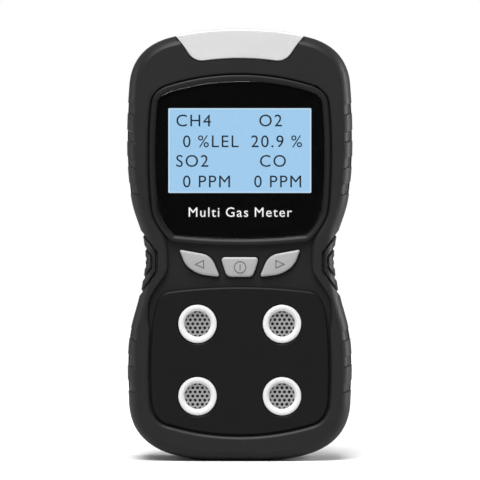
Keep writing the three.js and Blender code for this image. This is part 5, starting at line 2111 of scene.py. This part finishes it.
@dataclass
class Studio:
    """The floor, the lights and the camera."""

    frame_width: float = 158.9
    aim: tuple[float, float] = (0.07, 73.35)
    lens: float = 240.0
    sensor: float = 36.0
    bounce: float = 0.55

    def build(self) -> None:
        """Builds the whole studio."""
        self.build_world()
        self.build_floor()
        self.build_lights()
        self.build_camera()
        bpy.context.scene.view_settings.view_transform = "Standard"
        bpy.context.scene.view_settings.look = "None"

    def build_world(self) -> None:
        """Builds a white surround that is dim in front of the object, so that its window stays black."""
        world = bpy.data.worlds.new("studio")
        bpy.context.scene.world = world
        world.use_nodes = True
        tree = world.node_tree
        place_node = tree.nodes.new("ShaderNodeTexCoord")
        split = tree.nodes.new("ShaderNodeSeparateXYZ")
        tree.links.new(place_node.outputs["Generated"], split.inputs[0])
        spread = tree.nodes.new("ShaderNodeMapRange")
        spread.inputs["From Min"].default_value = -0.9
        spread.inputs["From Max"].default_value = 0.2
        spread.inputs["To Min"].default_value = 0.02
        spread.inputs["To Max"].default_value = 0.32
        tree.links.new(split.outputs["Y"], spread.inputs["Value"])
        rays = tree.nodes.new("ShaderNodeLightPath")
        choose = tree.nodes.new("ShaderNodeMix")
        choose.inputs["B"].default_value = 1.0
        tree.links.new(rays.outputs["Is Camera Ray"], choose.inputs["Factor"])
        tree.links.new(spread.outputs["Result"], choose.inputs["A"])
        background = tree.nodes["Background"]
        tree.links.new(choose.outputs["Result"], background.inputs["Strength"])
        background.inputs["Color"].default_value = (1, 1, 1, 1)

    def build_floor(self) -> None:
        """Builds a plain pale floor under the object, which throws less light back than it shows."""
        size = 4000.0
        points = np.array([(-size, -size, 0), (size, -size, 0), (size, size, 0), (-size, size, 0)])
        floor = make_object("floor", points, [(0, 1, 2, 3)])
        pale = Finish("floor_pale", (0.95, 0.95, 0.95), 0.8, grain=Grain.SMOOTH, shade=0.01, specular=0.1)
        dress(floor, pale)
        tree = floor.data.materials[0].node_tree
        rays = tree.nodes.new("ShaderNodeLightPath")
        choose = tree.nodes.new("ShaderNodeMix")
        choose.data_type = "RGBA"
        choose.inputs["A"].default_value = (self.bounce, self.bounce, self.bounce, 1)
        choose.inputs["B"].default_value = (0.95, 0.95, 0.95, 1)
        tree.links.new(rays.outputs["Is Camera Ray"], choose.inputs["Factor"])
        tree.links.new(choose.outputs["Result"], tree.nodes["Principled BSDF"].inputs["Base Color"])

    def build_lights(self) -> None:
        """Builds a soft overhead light, a fill in front and a strip on each side."""
        self.sun("overhead", 3.3, (math.radians(24), 0, math.radians(-8)), 34)
        self.area("strip_right", (420, 60, 120), (0, 0, 72), (90, 420), 1.8)
        self.area("strip_left", (-420, 40, 120), (0, 0, 72), (90, 420), 0.4)
        self.area("front_top", (-160, -620, 640), (0, 0, 72), (420, 300), 3.3)

    @staticmethod
    def sun(name: str, strength: float, turn: tuple[float, float, float], angle_deg: float) -> None:
        """Adds a wide soft sun.

        Args:
            name: The light's name.
            strength: Its strength.
            turn: Its turn about X, Y and Z, in radians.
            angle_deg: How wide it is in the sky.
        """
        light = bpy.data.lights.new(name, "SUN")
        light.energy = strength
        light.angle = math.radians(angle_deg)
        obj = bpy.data.objects.new(name, light)
        obj.rotation_euler = turn
        bpy.context.scene.collection.objects.link(obj)

    @staticmethod
    def area(name: str, at: tuple[float, float, float], target: tuple[float, float, float],
             size: tuple[float, float], power: float) -> None:
        """Adds a rectangular light that faces a target, with places and sizes in millimetres.

        Args:
            name: The light's name.
            at: Where it is.
            target: What it faces.
            size: Its width and height.
            power: Its power, in watts.
        """
        light = bpy.data.lights.new(name, "AREA")
        light.shape = "RECTANGLE"
        light.size, light.size_y = size[0] * MM, size[1] * MM
        light.energy = power
        obj = bpy.data.objects.new(name, light)
        obj.location = Vector(at) * MM
        obj.rotation_euler = (Vector(target) - Vector(at)).to_track_quat("-Z", "Y").to_euler()
        bpy.context.scene.collection.objects.link(obj)

    def build_camera(self) -> None:
        """Builds a long-lens camera square to the display."""
        camera = bpy.data.cameras.new("camera")
        camera.lens, camera.sensor_width = self.lens, self.sensor
        camera.clip_end = 20
        distance = self.frame_width * self.lens / self.sensor
        obj = bpy.data.objects.new("camera", camera)
        obj.location = Vector((self.aim[0], -distance - 17, self.aim[1])) * MM
        obj.rotation_euler = (math.pi / 2, 0, 0)
        bpy.context.scene.collection.objects.link(obj)
        bpy.context.scene.camera = obj


def main() -> None:
    """Builds the studio and every sub-assembly."""
    logging.basicConfig(level=logging.INFO, format="%(message)s")
    layout = Layout.from_frame()
    Studio().build()
    Boot(layout).build()
    Shells(layout).build()
    AlarmLens(layout).build()
    Display(layout).build()
    Keys(layout).build()
    GasPorts(layout).build()
    BeltClip(layout).build()
    Screws().build()
    ChargeFlap().build()
    CarriedNodes().build()


if __name__ == "__main__":
    main()
